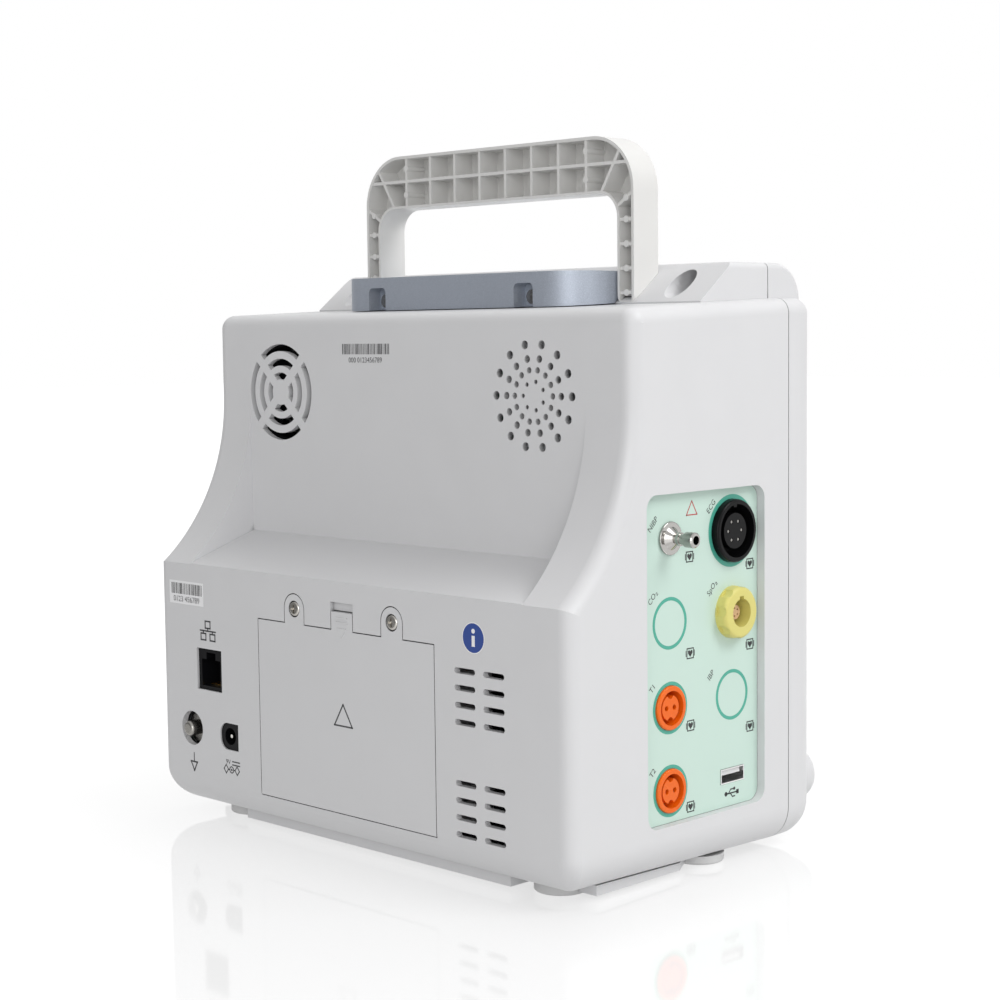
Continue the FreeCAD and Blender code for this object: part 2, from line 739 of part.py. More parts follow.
def knob_cylinder(name, radius, front, rear):
    return cylinder(name, radius, f"({rear}) - ({front})", ("knob_x", front, "knob_z"), "+y")


def make_knob():
    body = box("encoder_case", ("knob_x - 6.5", "knob_x + 6.5"), ("front_y + wall + 0.5", "front_y + 11"),
               ("knob_z - 6.5", "knob_z + 6.5"))
    neck = knob_cylinder("encoder_neck", 3.9, "front_y + 0.4", "front_y + wall + 1")
    cavity = knob_cylinder("encoder_cavity", "5 + shaft_fit", "front_y + 4.5", "front_y + 10")
    way = knob_cylinder("encoder_way", "shaft_radius + shaft_fit", "front_y", "front_y + 5")
    piece(cut("encoder_body", fuse("encoder_solid", body, neck), cavity, way))
    ring = knob_cylinder("encoder_ring", 5, "front_y + 4.7", "front_y + 9.4")
    flat = box("encoder_flat", ("knob_x - 4", "knob_x + 4"), ("front_y + 4", "front_y + 10"),
               ("knob_z + 2 + shaft_fit", "knob_z + 5"))
    bore = knob_cylinder("encoder_bore", "shaft_radius + shaft_fit", "front_y + 4", "front_y + 10")
    piece(cut("encoder_rotor", ring, cut("encoder_d_way", bore, flat)))
    shaft = knob_cylinder("encoder_rod", "shaft_radius", "knob_front + 2", "front_y + 9")
    shaft_flat = box("encoder_rod_flat", ("knob_x - 4", "knob_x + 4"), ("front_y + 3.5", "front_y + 10"),
                     ("knob_z + 2", "knob_z + 5"))
    piece(cut("encoder_shaft", shaft, shaft_flat))
    disc = knob_cylinder("knob_disc", "knob_radius", "knob_front", "knob_rear")
    edge = rounded("knob_round", disc, ("knob_edge", "arc", {"y": "knob_front"}))
    dimple = cylinder("knob_dimple", 1.6, 1.5, ("knob_x", "knob_front - 1", "knob_z + 4"), "+y")
    hole = knob_cylinder("knob_hole", "shaft_radius", "knob_front + 2", "knob_rear + 1")
    piece(cut("control_knob", edge, hole, dimple))


# ---------------------------------------------------------------- handle and trim block
def handle_hoop(name, grow_out, grow_in, front, rear):
    """The handle's outline: a hoop standing on the slope, its outer and inner edges moved by formulas."""
    half = f"handle_half + {grow_out}"
    top = f"handle_top + {grow_out}"
    plate = rounded(name + "_outer", box(name + "_plate", (f"-({half})", half), (front, rear),
                                         ("handle_low", top)),
                    (f"handle_round + {grow_out}", "y", {"z": top}))
    inner = f"handle_half - leg_width + {grow_in}"
    grip = rounded(name + "_inner", box(name + "_gap", (f"-({inner})", inner),
                                        ("handle_front - 1", "handle_rear + 2"),
                                        ("handle_low - 1", f"grip_under + {grow_in}")),
                   (f"grip_round + {grow_in}", "y", {"z": f"grip_under + {grow_in}"}))
    return cut(name, plate, grip)


def bar(name, start, end, thick, front, rear):
    """A straight rib in the upright plane between two points, each a pair of formulas for x and z."""
    low = FreeCAD.Vector(size(start[0]), 0, size(start[1]))
    high = FreeCAD.Vector(size(end[0]), 0, size(end[1]))
    run = high - low
    solid = doc.addObject("Part::Box", name)
    bind(solid, Length=run.Length, Width=f"({rear}) - ({front})", Height=thick)
    turn = FreeCAD.Rotation(FreeCAD.Vector(1, 0, 0), run)
    offset = turn.multVec(FreeCAD.Vector(0, 0, -size(thick) / 2))
    put(solid, f"({start[0]}) + {offset.x}", front, f"({start[1]}) + {offset.z}", turn)
    return solid


def make_handle():
    hoop = handle_hoop("handle_hoop", 0, 0, "handle_front", "handle_rear")
    hoop_round = hoop_feet(hoop)
    pocket = cut("handle_pocket", handle_hoop("handle_pocket_hoop", "0 - handle_rim", "handle_lip",
                                              "pocket_floor", "handle_rear + 1"),
                 box("handle_pocket_floor", ("-handle_half", "handle_half"),
                     ("pocket_floor - 1", "handle_rear + 2"),
                     ("handle_low - 1", "handle_low + 1.6")))
    ribs = [box("rib_mid", ("-handle_half + 1", "handle_half - 1"), ("pocket_floor - 1", "rib_rear"),
                ("rib_mid_z - rib / 2", "rib_mid_z + rib / 2"))]
    for number in range(8):
        middle = f"({number} - 3.5) * rib_pitch"
        ribs.append(box(f"rib_up_{number}", (f"{middle} - rib / 2", f"{middle} + rib / 2"),
                        ("pocket_floor - 1", "rib_rear"), ("grip_under + 0.5", "handle_top - 1")))
    leg_mid = "handle_half - leg_width / 2"
    for side, sign in (("right", "+"), ("left", "-")):
        for level, edge in (("low", "grip_under"), ("high", "handle_top")):
            ribs.append(cylinder(f"pin_mark_{level}_{side}", "pin_mark", "rib_rear + 0.3 - pocket_floor",
                                 (f"{sign}3.5 * rib_pitch", "pocket_floor", f"(rib_mid_z + {edge}) / 2"),
                                 "+y"))
        for number in range(4):
            height = f"leg_rib_low + {number} * leg_rib_pitch"
            ribs.append(box(f"rib_leg_{side}_{number}",
                            (f"{sign}({leg_mid}) - web_half", f"{sign}({leg_mid}) + web_half"),
                            ("pocket_floor - 1", "rib_rear"),
                            (f"{height} - rib / 2", f"{height} + rib / 2")))
            ribs.append(cylinder(f"pin_mark_{side}_{number}", "pin_mark", "rib_rear + 0.3 - pocket_floor",
                                 (f"{sign}({leg_mid})", "pocket_floor", height), "+y"))
        ribs.append(bar(f"rib_low_corner_{side}", (f"{sign}(handle_half - leg_width)", "grip_under - 4.7"),
                        (f"{sign}(handle_half - 1)", "grip_under"), "rib", "pocket_floor - 1", "rib_rear"))
        ribs.append(cylinder(f"pin_mark_low_corner_{side}", "pin_mark", "rib_rear + 0.3 - pocket_floor",
                             (f"{sign}({leg_mid})", "pocket_floor", "grip_under - 2.1"), "+y"))
        ribs.append(bar(f"rib_high_corner_{side}", (f"{sign}(handle_half - leg_width - 8.6)", "grip_under"),
                        (f"{sign}(handle_half - 6.6)", "handle_top - 4.4"), "rib", "pocket_floor - 1",
                        "rib_rear"))
        ribs.append(cylinder(f"foot_post_{side}", "web_half", 30,
                             (f"{sign}({leg_mid})", "pocket_floor + 1.6", "handle_low")))
    body = cut("handle_shell", hoop_round, pocket)
    web = common("handle_web", fuse("handle_ribs", *ribs), hoop_round)
    slope = prism("handle_seat", "side", [
        ("slope_low_y + 12", "slope_low_z - 10"),
        ("slope_low_y + 12",
         "slope_low_z + 0.05 - (crown_top - slope_low_z) / (slope_low_y - slope_top_y) * 12"),
        ("slope_top_y", "crown_top + 0.05"),
        ("slope_top_y", "slope_low_z - 10"),
    ], "-handle_half - 1", "handle_half + 1")
    ways = [cylinder(f"handle_thread_{side}", 1.6, 16, (f"{sign}({leg_mid})", -19, "handle_low"))
            for side, sign in (("right", "+"), ("left", "-"))]
    piece(cut("carry_handle", fuse("handle_solid", body, web), slope, *ways))
    screws = []
    for side, sign in (("right", "+"), ("left", "-")):
        place = (f"{sign}({leg_mid})", -19)
        head = cylinder(f"handle_screw_head_{side}", 3, 2.2, (*place, "slope_low_z - 10.2"))
        rod = cylinder(f"handle_screw_rod_{side}", 1.6, 22, (*place, "slope_low_z - 8"))
        screws.append(fuse(f"handle_screw_{side}", head, rod))
    piece(group("handle_screws", *screws))


def hoop_feet(hoop):
    """The hoop with its four lower leg corners rounded."""
    choices = []
    for sign in ("+", "-"):
        for edge in ("handle_half", "(handle_half - leg_width)"):
            choices.append(("leg_round", "y", {"x": f"{sign}{edge}", "z": "handle_low"}))
    return rounded("handle_round_feet", hoop, *choices)


def make_trim_block():
    outline = [
        ("block_rear", "block_low_rear"),
        ("block_rear", "block_top"),
        ("block_front_top_y", "block_top"),
        ("block_front_low_y", "block_low_front"),
    ]
    block = prism("trim_prism", "side", outline, "-block_half", "block_half")
    smooth = rounded("trim_round", block,
                     ("block_round", "z", {"x": "block_half", "y": "block_rear"}),
                     ("block_round", "z", {"x": "-block_half", "y": "block_rear"}))
    tools = []
    for side, sign in (("right", "+"), ("left", "-")):
        slot = box(f"trim_slot_{side}", (f"{sign}slot_x - slot_half", f"{sign}slot_x + slot_half"),
                   ("slot_depth_y", "block_rear + 1"), ("block_low_rear - 2", "slot_top"))
        tools.append(rounded(f"trim_slot_round_{side}", slot, (2, "y", {"z": "slot_top"})))
        tools.append(cylinder(f"trim_screw_way_{side}", 1.6, 30,
                              (f"{sign}slot_x", "slot_depth_y - 29", "block_screw_z"),
                              "+y"))
    piece(cut("trim_block", smooth, *tools))
    screws = []
    for side, sign in (("right", "+"), ("left", "-")):
        head = cylinder(f"trim_screw_head_{side}", 2.7, 1.8,
                        (f"{sign}slot_x", "slot_depth_y", "block_screw_z"), "+y")
        rod = cylinder(f"trim_screw_rod_{side}", 1.5, 26,
                       (f"{sign}slot_x", "slot_depth_y", "block_screw_z"), "-y")
        screws.append(fuse(f"trim_screw_{side}", head, rod))
    piece(group("trim_screws", *screws))


# ---------------------------------------------------------------- battery
def make_battery():
    plate = door_plate("door_plate", 0, "rear_y - door_thick", "rear_y")
    tongue = box("latch_tongue", ("-latch_half", "latch_half"), ("rear_y - door_thick", "rear_y"),
                 ("door_top - 1", "latch_top"))
    catch = box("latch_catch", ("-catch_half", "catch_half"), ("rear_y - 5", "rear_y - door_thick + 0.5"),
                ("bay_top + 2.4", "latch_top - 0.5"))
    ridges = [box(f"latch_ridge_{number}", ("-3.2", "3.2"), ("rear_y - 0.4", "rear_y + 0.3"),
                  (f"latch_top - 2.4 - {number} * 1.7",
                   f"latch_top - 1.8 - {number} * 1.7")) for number in range(2)]
    arrow = prism("latch_arrow", "front", [("-2.6", "door_top + 1"), ("2.6", "door_top + 1"),
                                           ("0", "door_top - 2.4")],
                  "rear_y - 0.4", "rear_y + 0.3")
    tools = []
    for side, sign in (("right", "+"), ("left", "-")):
        tools.append(cylinder(f"door_screw_hole_{side}", 1.6, 6, (f"{sign}tab_x", "rear_y - 5", "tab_z"),
                              "+y"))
        tools.append(cylinder(f"door_screw_sink_{side}", 3.2, 4,
                              (f"{sign}tab_x", "rear_y - screw_sink", "tab_z"), "+y"))
    piece(cut("battery_cover", fuse("door_solid", plate, tongue, catch, arrow, *ridges), *tools))
    screws = []
    for side, sign in (("right", "+"), ("left", "-")):
        head = cylinder(f"cover_screw_head_{side}", 2.9, 1.5,
                        (f"{sign}tab_x", "rear_y - screw_sink + 0.02", "tab_z"), "+y")
        dome = rounded(f"cover_screw_dome_{side}", head, (1, "arc", {"y": "rear_y - screw_sink + 1.52"}))
        rod = cylinder(f"cover_screw_rod_{side}", 1.25, 9,
                       (f"{sign}tab_x", "rear_y - screw_sink + 0.5", "tab_z"), "-y")
        slots = [box(f"cover_slot_{side}_{index}", (f"{sign}tab_x - {wide}", f"{sign}tab_x + {wide}"),
                     ("rear_y - screw_sink + 0.7", "rear_y + 2"), (f"tab_z - {high}", f"tab_z + {high}"))
                 for index, (wide, high) in enumerate(((1.6, 0.35), (0.35, 1.6)))]
        screws.append(fuse(f"cover_screw_{side}", cut(f"cover_screw_cross_{side}", dome, *slots), rod))
    piece(group("cover_screws", *screws))
    piece(rounded_box("battery_pack", ("-bay_half + 2.5", "bay_half - 2.5"),
                      ("rear_y - bay_depth + 2.6", "rear_y - 5.6"),
                      ("bay_low + 1", "bay_top - 2"), 2, "y"))
    blades = [box(f"battery_blade_{number}", (f"{number} * 8 - 9.5", f"{number} * 8 - 6.5"),
                  ("rear_y - bay_depth", "rear_y - bay_depth + 2.5"), ("bay_low + 10", "bay_low + 18"))
              for number in range(3)]
    piece(group("battery_contacts", *blades))


# ---------------------------------------------------------------- side panel and sockets
def make_side_panel():
    plate = rounded_box("panel_plate", ("panel_x", "panel_x + panel_thick"),
                        ("panel_front_y + 0.15", "panel_rear_y - 0.15"),
                        ("panel_low + 0.15", "panel_top - 0.15"),
                        "panel_round - 0.15", "x")
    piece(cut("side_panel", plate, *panel_holes("panel_way", 0.1, "panel_x - 1", "panel_x + 3")))


def socket_disc(name, label, radius, low_x, high_x):
    """A cylinder on a socket's centre line, between two places along X."""
    y, z, _ = SOCKETS[label]
    return cylinder(name, radius, f"({high_x}) - ({low_x})", (low_x, y, z), "+x")


def make_ecg():
    shell = rounded("ecg_round", socket_disc("ecg_barrel", "ecg", "ecg_radius", "ecg_rim_x", "socket_tail"),
                    (0.9, "arc", {"x": "ecg_rim_x"}))
    mouth = socket_disc("ecg_bowl", "ecg", "ecg_mouth", "ecg_rim_x - 1", "ecg_floor_x")
    insert = socket_disc("ecg_core", "ecg", "ecg_insert", "ecg_insert_x", "ecg_floor_x + 1")
    key = box("ecg_key", ("ecg_rim_x + 1", "ecg_floor_x + 1"),
              ("front_column_y - 0.9", "front_column_y + 0.9"),
              ("row_a + ecg_mouth - 1.1", "row_a + ecg_mouth + 0.6"))
    solid = fuse("ecg_solid", cut("ecg_cup", shell, mouth), insert, key)
    wells = []
    ways = []
    pins = []
    for step in range(6):
        place = (f"front_column_y + ecg_pin_circle * cos({60 * step} deg)",
                 f"row_a + ecg_pin_circle * sin({60 * step} deg)")
        wells.append(cylinder(f"ecg_well_{step}", 0.7, 8, ("ecg_insert_x - 1", *place), "+x"))
        ways.append(cylinder(f"ecg_way_{step}", "ecg_pin_radius", 20, ("ecg_insert_x", *place), "+x"))
        pins.append(cylinder(f"ecg_contact_{step}", "ecg_pin_radius", 16, ("ecg_insert_x + 0.2", *place),
                             "+x"))
    piece(cut("ecg_socket", solid, *wells, *ways))
    piece(group("ecg_pins", *pins))


def make_spo2():
    nut = rounded("spo2_round", socket_disc("spo2_nut", "spo2", "spo2_radius", "spo2_rim_x", "panel_x"),
                  (1.5, "arc", {"x": "spo2_rim_x"}))
    tail = socket_disc("spo2_tail", "spo2", "tail_radius", "panel_x - 0.5", "socket_tail")
    bowl = socket_disc("spo2_bowl", "spo2", "spo2_mouth", "spo2_rim_x - 1", "spo2_floor_x")
    keyway = box("spo2_keyway", ("spo2_rim_x - 1", "spo2_floor_x"),
                 ("front_column_y - 1.2", "front_column_y + 1.2"),
                 ("row_b", "row_b + spo2_mouth + 0.9"))
    scallops = []
    for step in range(8):
        reach = "(spo2_radius + scallop_offset)"
        scallops.append(cylinder(f"spo2_scallop_{step}", "scallop_radius", "panel_x - 0.7 - spo2_rim_x + 1",
                                 ("spo2_rim_x - 1", f"front_column_y + {reach} * cos({45 * step + 7.5} deg)",
                                  f"row_b + {reach} * sin({45 * step + 7.5} deg)"), "+x"))
    piece(cut("spo2_socket", fuse("spo2_solid", nut, tail), bowl, keyway, *scallops))
    insert = socket_disc("spo2_core", "spo2", "spo2_insert", "spo2_insert_x", "spo2_floor_x")
    holes = []
    for step in range(5):
        holes.append(cylinder(f"spo2_hole_{step}", 0.4, 3,
                              ("spo2_insert_x - 1", f"front_column_y + 1.5 * cos({72 * step} deg)",
                               f"row_b + 1.5 * sin({72 * step} deg)"), "+x"))
    piece(cut("spo2_insert", insert, *holes))


def make_temperature_socket(label):
    y, z, _ = SOCKETS[label]
    barrel = rounded(label + "_round", socket_disc(label + "_barrel", label, "temp_radius", "temp_rim_x",
                                                   "socket_tail"), (0.6, "arc", {"x": "temp_rim_x"}))
    bowl = socket_disc(label + "_bowl", label, "temp_mouth", "temp_rim_x - 1", "temp_floor_x")
    plug = socket_disc(label + "_plug", label, "temp_insert", "temp_insert_x", "temp_floor_x + 1")
    notches = [cylinder(f"{label}_notch_{number}", 1.5, 8,
                        ("temp_rim_x", y, f"{z} {sign} (temp_insert + 0.2)"), "+x")
               for number, sign in enumerate(("+", "-"))]
    solid = fuse(label + "_solid", cut(label + "_cup", barrel, bowl), cut(label + "_key", plug, *notches))
    holes = [cylinder(f"{label}_hole_{number}", "temp_pin_hole", 6,
                      ("temp_insert_x - 1", f"{y} {sign} temp_pin_spread", z), "+x")
             for number, sign in enumerate(("+", "-"))]
    piece(cut(f"{label}_socket", solid, *holes))


def nibp_part(name, radius, start, length, radius_2=None):
    """A length of the hose nozzle, beginning at a distance out from the panel's front face."""
    place = (f"panel_x - ({start})", "rear_column_y", "row_a")
    if radius_2 is None:
        return cylinder(name, radius, length, place, "-x")
    return cone(name, radius, radius_2, length, place, "-x")


def make_nibp():
    tip_end = "nibp_tip_start + nibp_tip_long"
    solid = fuse(
        "nibp_solid",
        rounded("nibp_rim", nibp_part("nibp_disc", "nibp_flange", "0.05", 1),
                (0.4, "arc", {"x": "panel_x - 1.05"})),
        nibp_part("nibp_trumpet", "nibp_stem + 2.2", "0.9", 2.1, "nibp_stem"),
        nibp_part("nibp_rod", "nibp_stem", "0.9", "nibp_tip_start"),
        nibp_part("nibp_ring", "nibp_collar", "4.4", 1.1),
        nibp_part("nibp_end", "nibp_tip", "nibp_tip_start", "nibp_tip_long"),
        nibp_part("nibp_nose", "nibp_tip", tip_end, "nibp_nose", "nibp_tip - 0.4"),
        nibp_part("nibp_root", "nibp_tail", "-9.9", 10),
        nibp_part("nibp_spigot", 2, "-17.5", 8),
    )
    bore = nibp_part("nibp_way", "nibp_bore", "-20", 40)
    piece(cut("nibp_nozzle", solid, bore))
    hose = nibp_part("nibp_hose_outer", 3.4, "-32.5", 22)
    hose_bore = nibp_part("nibp_hose_bore", 2, "-34", 24)
    piece(cut("nibp_hose", hose, hose_bore))


def make_usb():
    y = ("front_column_y - usb_half", "front_column_y + usb_half")
    z = ("row_d - usb_half_high", "row_d + usb_half_high")
    shell = box("usb_case", ("panel_x - 0.3", "usb_tail"), y, z)
    room = box("usb_room", ("panel_x - 1", "usb_tail - 2"), (f"{y[0]} + 0.4", f"{y[1]} - 0.4"),
               (f"{z[0]} + 0.4", f"{z[1]} - 0.4"))
    piece(cut("usb_shell", shell, room))
    piece(box("usb_tongue", ("panel_x + 0.7", "usb_tail - 2"),
              ("front_column_y - 5.2", "front_column_y + 5.2"),
              ("row_d + 0.25", "row_d + 1.9")))


# ---------------------------------------------------------------- rear connectors
def make_rear_connectors():
    jack = box("lan_case", ("lan_low_x + 0.15", "lan_high_x - 0.15"), ("rear_y - 16", "rear_y - 0.9"),
               ("lan_low + 0.15", "lan_high - 0.15"))
    room = box("lan_room", ("lan_low_x + 2", "lan_high_x - 2"), ("rear_y - 13", "rear_y"),
               ("lan_low + 1.6", "lan_high - 4.4"))
    step = box("lan_step", ("lan_low_x + 5", "lan_high_x - 5"), ("rear_y - 13", "rear_y"),
               ("lan_low + 3", "lan_high - 1.6"))
    piece(cut("lan_jack", jack, room, step))
    piece(group("lan_contacts", *[
        box(f"lan_contact_{number}", (f"lan_low_x + 3.6 + {number} * 1.17",
                                      f"lan_low_x + 4.1 + {number} * 1.17"),
            ("rear_y - 12.9", "rear_y - 4"), ("lan_low + 1.7", "lan_low + 2.2")) for number in range(8)]))
    middle = ("(dc_low_x + dc_high_x) / 2", "(dc_low + dc_high) / 2")
    case = rounded("dc_case", box("dc_case_block", ("dc_low_x + 0.15", "dc_high_x - 0.15"),
                                  ("rear_y - 15", "rear_y - 0.6"), ("dc_low + 0.15", "dc_high - 0.15")),
                   ("dc_round - 0.15", "y", {"x": "dc_high_x - 0.15"}))
    socket = cylinder("dc_bore", 3.4, 10, (middle[0], "rear_y - 9.6", middle[1]), "+y")
    piece(cut("dc_jack", case, socket))
    piece(cylinder("dc_pin", "dc_pin_radius", 8.4, (middle[0], "rear_y - 9.6", middle[1]), "+y"))
    cup = cylinder("stud_base", "stud_cup - 0.15", 2, ("stud_x", "rear_y - 6", "stud_z"), "+y")
    pin = cylinder("stud_post", "stud_pin", "stud_long", ("stud_x", "rear_y - 4.5", "stud_z"), "+y")
    head = rounded("stud_head", pin, (1.2, "arc", {"y": "rear_y - 4.5 + stud_long"}))
    tail = cylinder("stud_tail", 2.5, 7, ("stud_x", "rear_y - 5.5", "stud_z"), "-y")
    piece(fuse("ground_stud", cup, head, tail))


# ---------------------------------------------------------------- fan and speaker
def fan_cylinder(name, radius, front, rear):
    return cylinder(name, radius, f"({rear}) - ({front})", ("fan_x", front, "fan_z"), "+y")


def make_fan():
    frame = rounded_box("fan_case", ("fan_x - fan_half", "fan_x + fan_half"), ("fan_front_y", "fan_rear_y"),
                        ("fan_z - fan_half", "fan_z + fan_half"), 2.5, "y")
    bore = fan_cylinder("fan_tunnel", "fan_bore", "fan_front_y - 1", "fan_rear_y + 1")
    carrier = fan_cylinder("fan_carrier", "fan_hub", "fan_front_y", "fan_front_y + 1.2")
    struts = [box("fan_strut_flat", ("fan_x - fan_bore - 0.5", "fan_x + fan_bore + 0.5"),
                  ("fan_front_y", "fan_front_y + 1.2"), ("fan_z - 1.2", "fan_z + 1.2")),
              box("fan_strut_up", ("fan_x - 1.2", "fan_x + 1.2"), ("fan_front_y", "fan_front_y + 1.2"),
                  ("fan_z - fan_bore - 0.5", "fan_z + fan_bore + 0.5"))]
    bearing = fan_cylinder("fan_bearing", 2.4, "fan_front_y", "fan_front_y + 4")
    way = fan_cylinder("fan_shaft_way", "fan_shaft + fan_fit", "fan_front_y + 0.8", "fan_front_y + 6")
    holes = []
    for across in ("-", "+"):
        for up in ("-", "+"):
            holes.append(cylinder(f"fan_hole_{len(holes)}", 1.75, 12,
                                  (f"fan_x {across} 16", "fan_front_y - 1", f"fan_z {up} 16"), "+y"))
    solid = fuse("fan_solid", cut("fan_ring", frame, bore), carrier, bearing, *struts)
    piece(cut("fan_frame", solid, way, *holes))
    hub = cut("fan_cup", fan_cylinder("fan_cup_outer", "fan_hub", "fan_front_y + 1.6", "fan_rear_y - 1"),
              fan_cylinder("fan_cup_inner", "fan_hub - 1.2", "fan_front_y + 1", "fan_rear_y - 2.2"))
    shaft = fan_cylinder("fan_axle", "fan_shaft", "fan_front_y + 1", "fan_rear_y - 2")
    blades = []
    for step in range(7):
        blade = doc.addObject("Part::Box", f"fan_blade_{step}")
        bind(blade, Length="fan_tip - fan_hub + 1", Width=1.1, Height=8.4)
        turn = FreeCAD.Rotation(FreeCAD.Vector(0, 1, 0), 360 * step / 7).multiply(
            FreeCAD.Rotation(FreeCAD.Vector(1, 0, 0), 50))
        middle = turn.multVec(FreeCAD.Vector(size("fan_hub") - 0.7, -0.55, -4.2))
        put(blade, f"fan_x + {middle.x}", f"(fan_front_y + fan_rear_y) / 2 + 0.5 + {middle.y}",
            f"fan_z + {middle.z}",
            turn)
        blades.append(blade)
    disc = fan_cylinder("fan_sweep", "fan_tip", "fan_front_y + 2", "fan_rear_y - 1.4")
    swept = common("fan_blades", fuse("fan_blade_set", *blades), disc)
    piece(fuse("fan_rotor", hub, shaft, swept))


def make_speaker():
    rear = "step_y - wall"
    dish = cylinder("speaker_dish", "speaker_radius", 3, ("speaker_x", f"{rear} - 3", "speaker_z"), "+y")
    well = cone("speaker_well", "speaker_radius - 1.5", 8, 6, ("speaker_x", rear, "speaker_z"), "-y")
    neck = cone("speaker_neck", 10.5, "speaker_radius", 5, ("speaker_x", f"{rear} - 8", "speaker_z"), "+y")
    magnet = cylinder("speaker_magnet", 11, 5, ("speaker_x", f"{rear} - 12.9", "speaker_z"), "+y")
    piece(cut("speaker_frame", fuse("speaker_solid", dish, neck, magnet), well))
    outer = cone("speaker_cone_outer", "speaker_radius - 2", 8, 5.6,
                 ("speaker_x", f"{rear} - 0.2", "speaker_z"), "-y")
    inner = cone("speaker_cone_inner", "speaker_radius - 2.7", 7.2, 5.2,
                 ("speaker_x", f"{rear} - 0.15", "speaker_z"),
                 "-y")
    piece(cut("speaker_cone", outer, inner))


# ---------------------------------------------------------------- inside
def make_inside():
    frame = box("chassis_sheet", ("-96", "96"), ("seam_y - 3.5", "seam_y - 2"), ("20", "186"))
    windows = [box(f"chassis_window_{number}", (f"{left}", f"{left} + 44"), ("seam_y - 5", "seam_y"),
                   ("44", "64"))
               for number, left in enumerate((-84, -22, 40))]
    piece(cut("chassis_plate", frame, *windows))
    posts = []
    for x in (-52, 18, 84):
        for z in (78, 176):
            posts.append(cylinder(f"post_{len(posts)}", 2.6, 8, (x, "seam_y - 2", z), "+y"))
    piece(group("board_posts", *posts))
    board = ("seam_y + 6", "seam_y + 7.6")
    piece(fuse("main_board", box("main_sheet", ("-58", "90"), board, ("72", "182")),
               box("main_shield", ("10", "56"), ("seam_y + 7.6", "seam_y + 13"), ("104", "146")),
               box("main_plug", ("-50", "-24"), ("seam_y + 7.6", "seam_y + 14"), ("160", "167"))))
    piece(fuse("data_board", box("data_sheet", ("-92", "-90.4"), ("-36", "5"), ("26", "136")),
               box("data_shield", ("-90.4", "-84"), ("-32", "1"), ("60", "128"))))
    piece(fuse("power_board", box("power_sheet", ("56", "106"), ("rear_y - 18", "rear_y - 16.4"),
                                  ("22", "94")),
               box("power_coil", ("70", "90"), ("rear_y - 34", "rear_y - 18"), ("74", "92"))))
    piece(box("valve_block", ("-78", "-56"), ("rear_column_y - 9", "rear_column_y + 9"),
              ("row_a - 10", "row_a + 10")))
    piece(cylinder("nibp_pump", 12.5, 50, ("-38", "8", "96")))


# ---------------------------------------------------------------- base and screws
def floor_line(y):
    """The height of the casing's sloping underside at a place along Y."""
    return f"low_front + (low_rear - low_front) * (({y}) - seam_y) / (rear_y - seam_y)"


def plate_blank():
    """The mounting plate without its holes: a cross with slanted front corners, its top along the casing."""
    slab = prism("plate_slab", "side", [
        ("plate_nose_y", "0"), ("plate_tail_y", "0"),
        ("plate_tail_y", floor_line("plate_tail_y")), ("plate_nose_y", floor_line("plate_nose_y")),
    ], "-plate_half", "plate_half")
    waist = "plate_front_y - plate_slant_y"
    side = [("plate_inner_half", "plate_tail_y"), ("plate_inner_half", "plate_rear_y"),
            ("plate_half", "plate_rear_y"), ("plate_half", "plate_front_y"),
            ("plate_half - plate_slant_x", waist), ("plate_inner_half", waist),
            ("plate_inner_half", "plate_nose_y")]
    other = [(f"-({across})", along) for across, along in reversed(side)]
    return common("plate_solid", slab, prism("plate_plan", "plan", side + other, -1, 9))


def make_base():
    slabs = plate_blank()
    holes = []
    screws = []
    for x in ("-", "+"):
        for y in ("-", "+"):
            holes.append(cylinder(f"mount_hole_{len(holes)}", "mount_hole", 12,
                                  (f"{x}mount_hole_x", f"{y}mount_hole_y", -1)))
        for y in ("plate_screw_front_y", "plate_screw_rear_y"):
            holes.append(cylinder(f"plate_screw_way_{len(holes)}", "plate_screw + 0.1", 12,
                                  (f"{x}plate_screw_x", y, -1)))
            holes.append(cone(f"plate_sink_{len(holes)}", 3.4, 1.7, 1.7, (f"{x}plate_screw_x", y, 0)))
            head = cone(f"plate_screw_head_{len(screws)}", 3.2, "plate_screw", 1.7,
                        (f"{x}plate_screw_x", y, 0.1))
            rod = cylinder(f"plate_screw_rod_{len(screws)}", "plate_screw", 8, (f"{x}plate_screw_x", y, 1))
            screws.append(fuse(f"plate_screw_{len(screws)}", head, rod))
    feet = []
    for sign in ("-", "+"):
        for x, y in (("foot_front_x", "foot_front_y"), ("foot_rear_x", "foot_rear_y")):
            holes.append(cylinder(f"foot_way_{len(feet)}", "foot_radius + foot_gap", 12,
                                  (f"{sign}{x}", y, -1)))
            height = f"{floor_line(y + ' - foot_radius')} - foot_low"
            pad = cylinder(f"foot_pad_{len(feet)}", "foot_radius", height, (f"{sign}{x}", y, "foot_low"))
            pad_round = rounded(f"foot_round_{len(feet)}", pad, ("foot_edge", "arc", {"z": "foot_low"}))
            stem = cylinder(f"foot_stem_{len(feet)}", "foot_stem", 6,
                            (f"{sign}{x}", y, f"{floor_line(y)} - 1"))
            feet.append(fuse(f"foot_{len(feet)}", pad_round, stem))
    piece(cut("base_plate", slabs, *holes))
    piece(group("plate_screws", *screws))
    piece(group("rubber_feet", *feet))


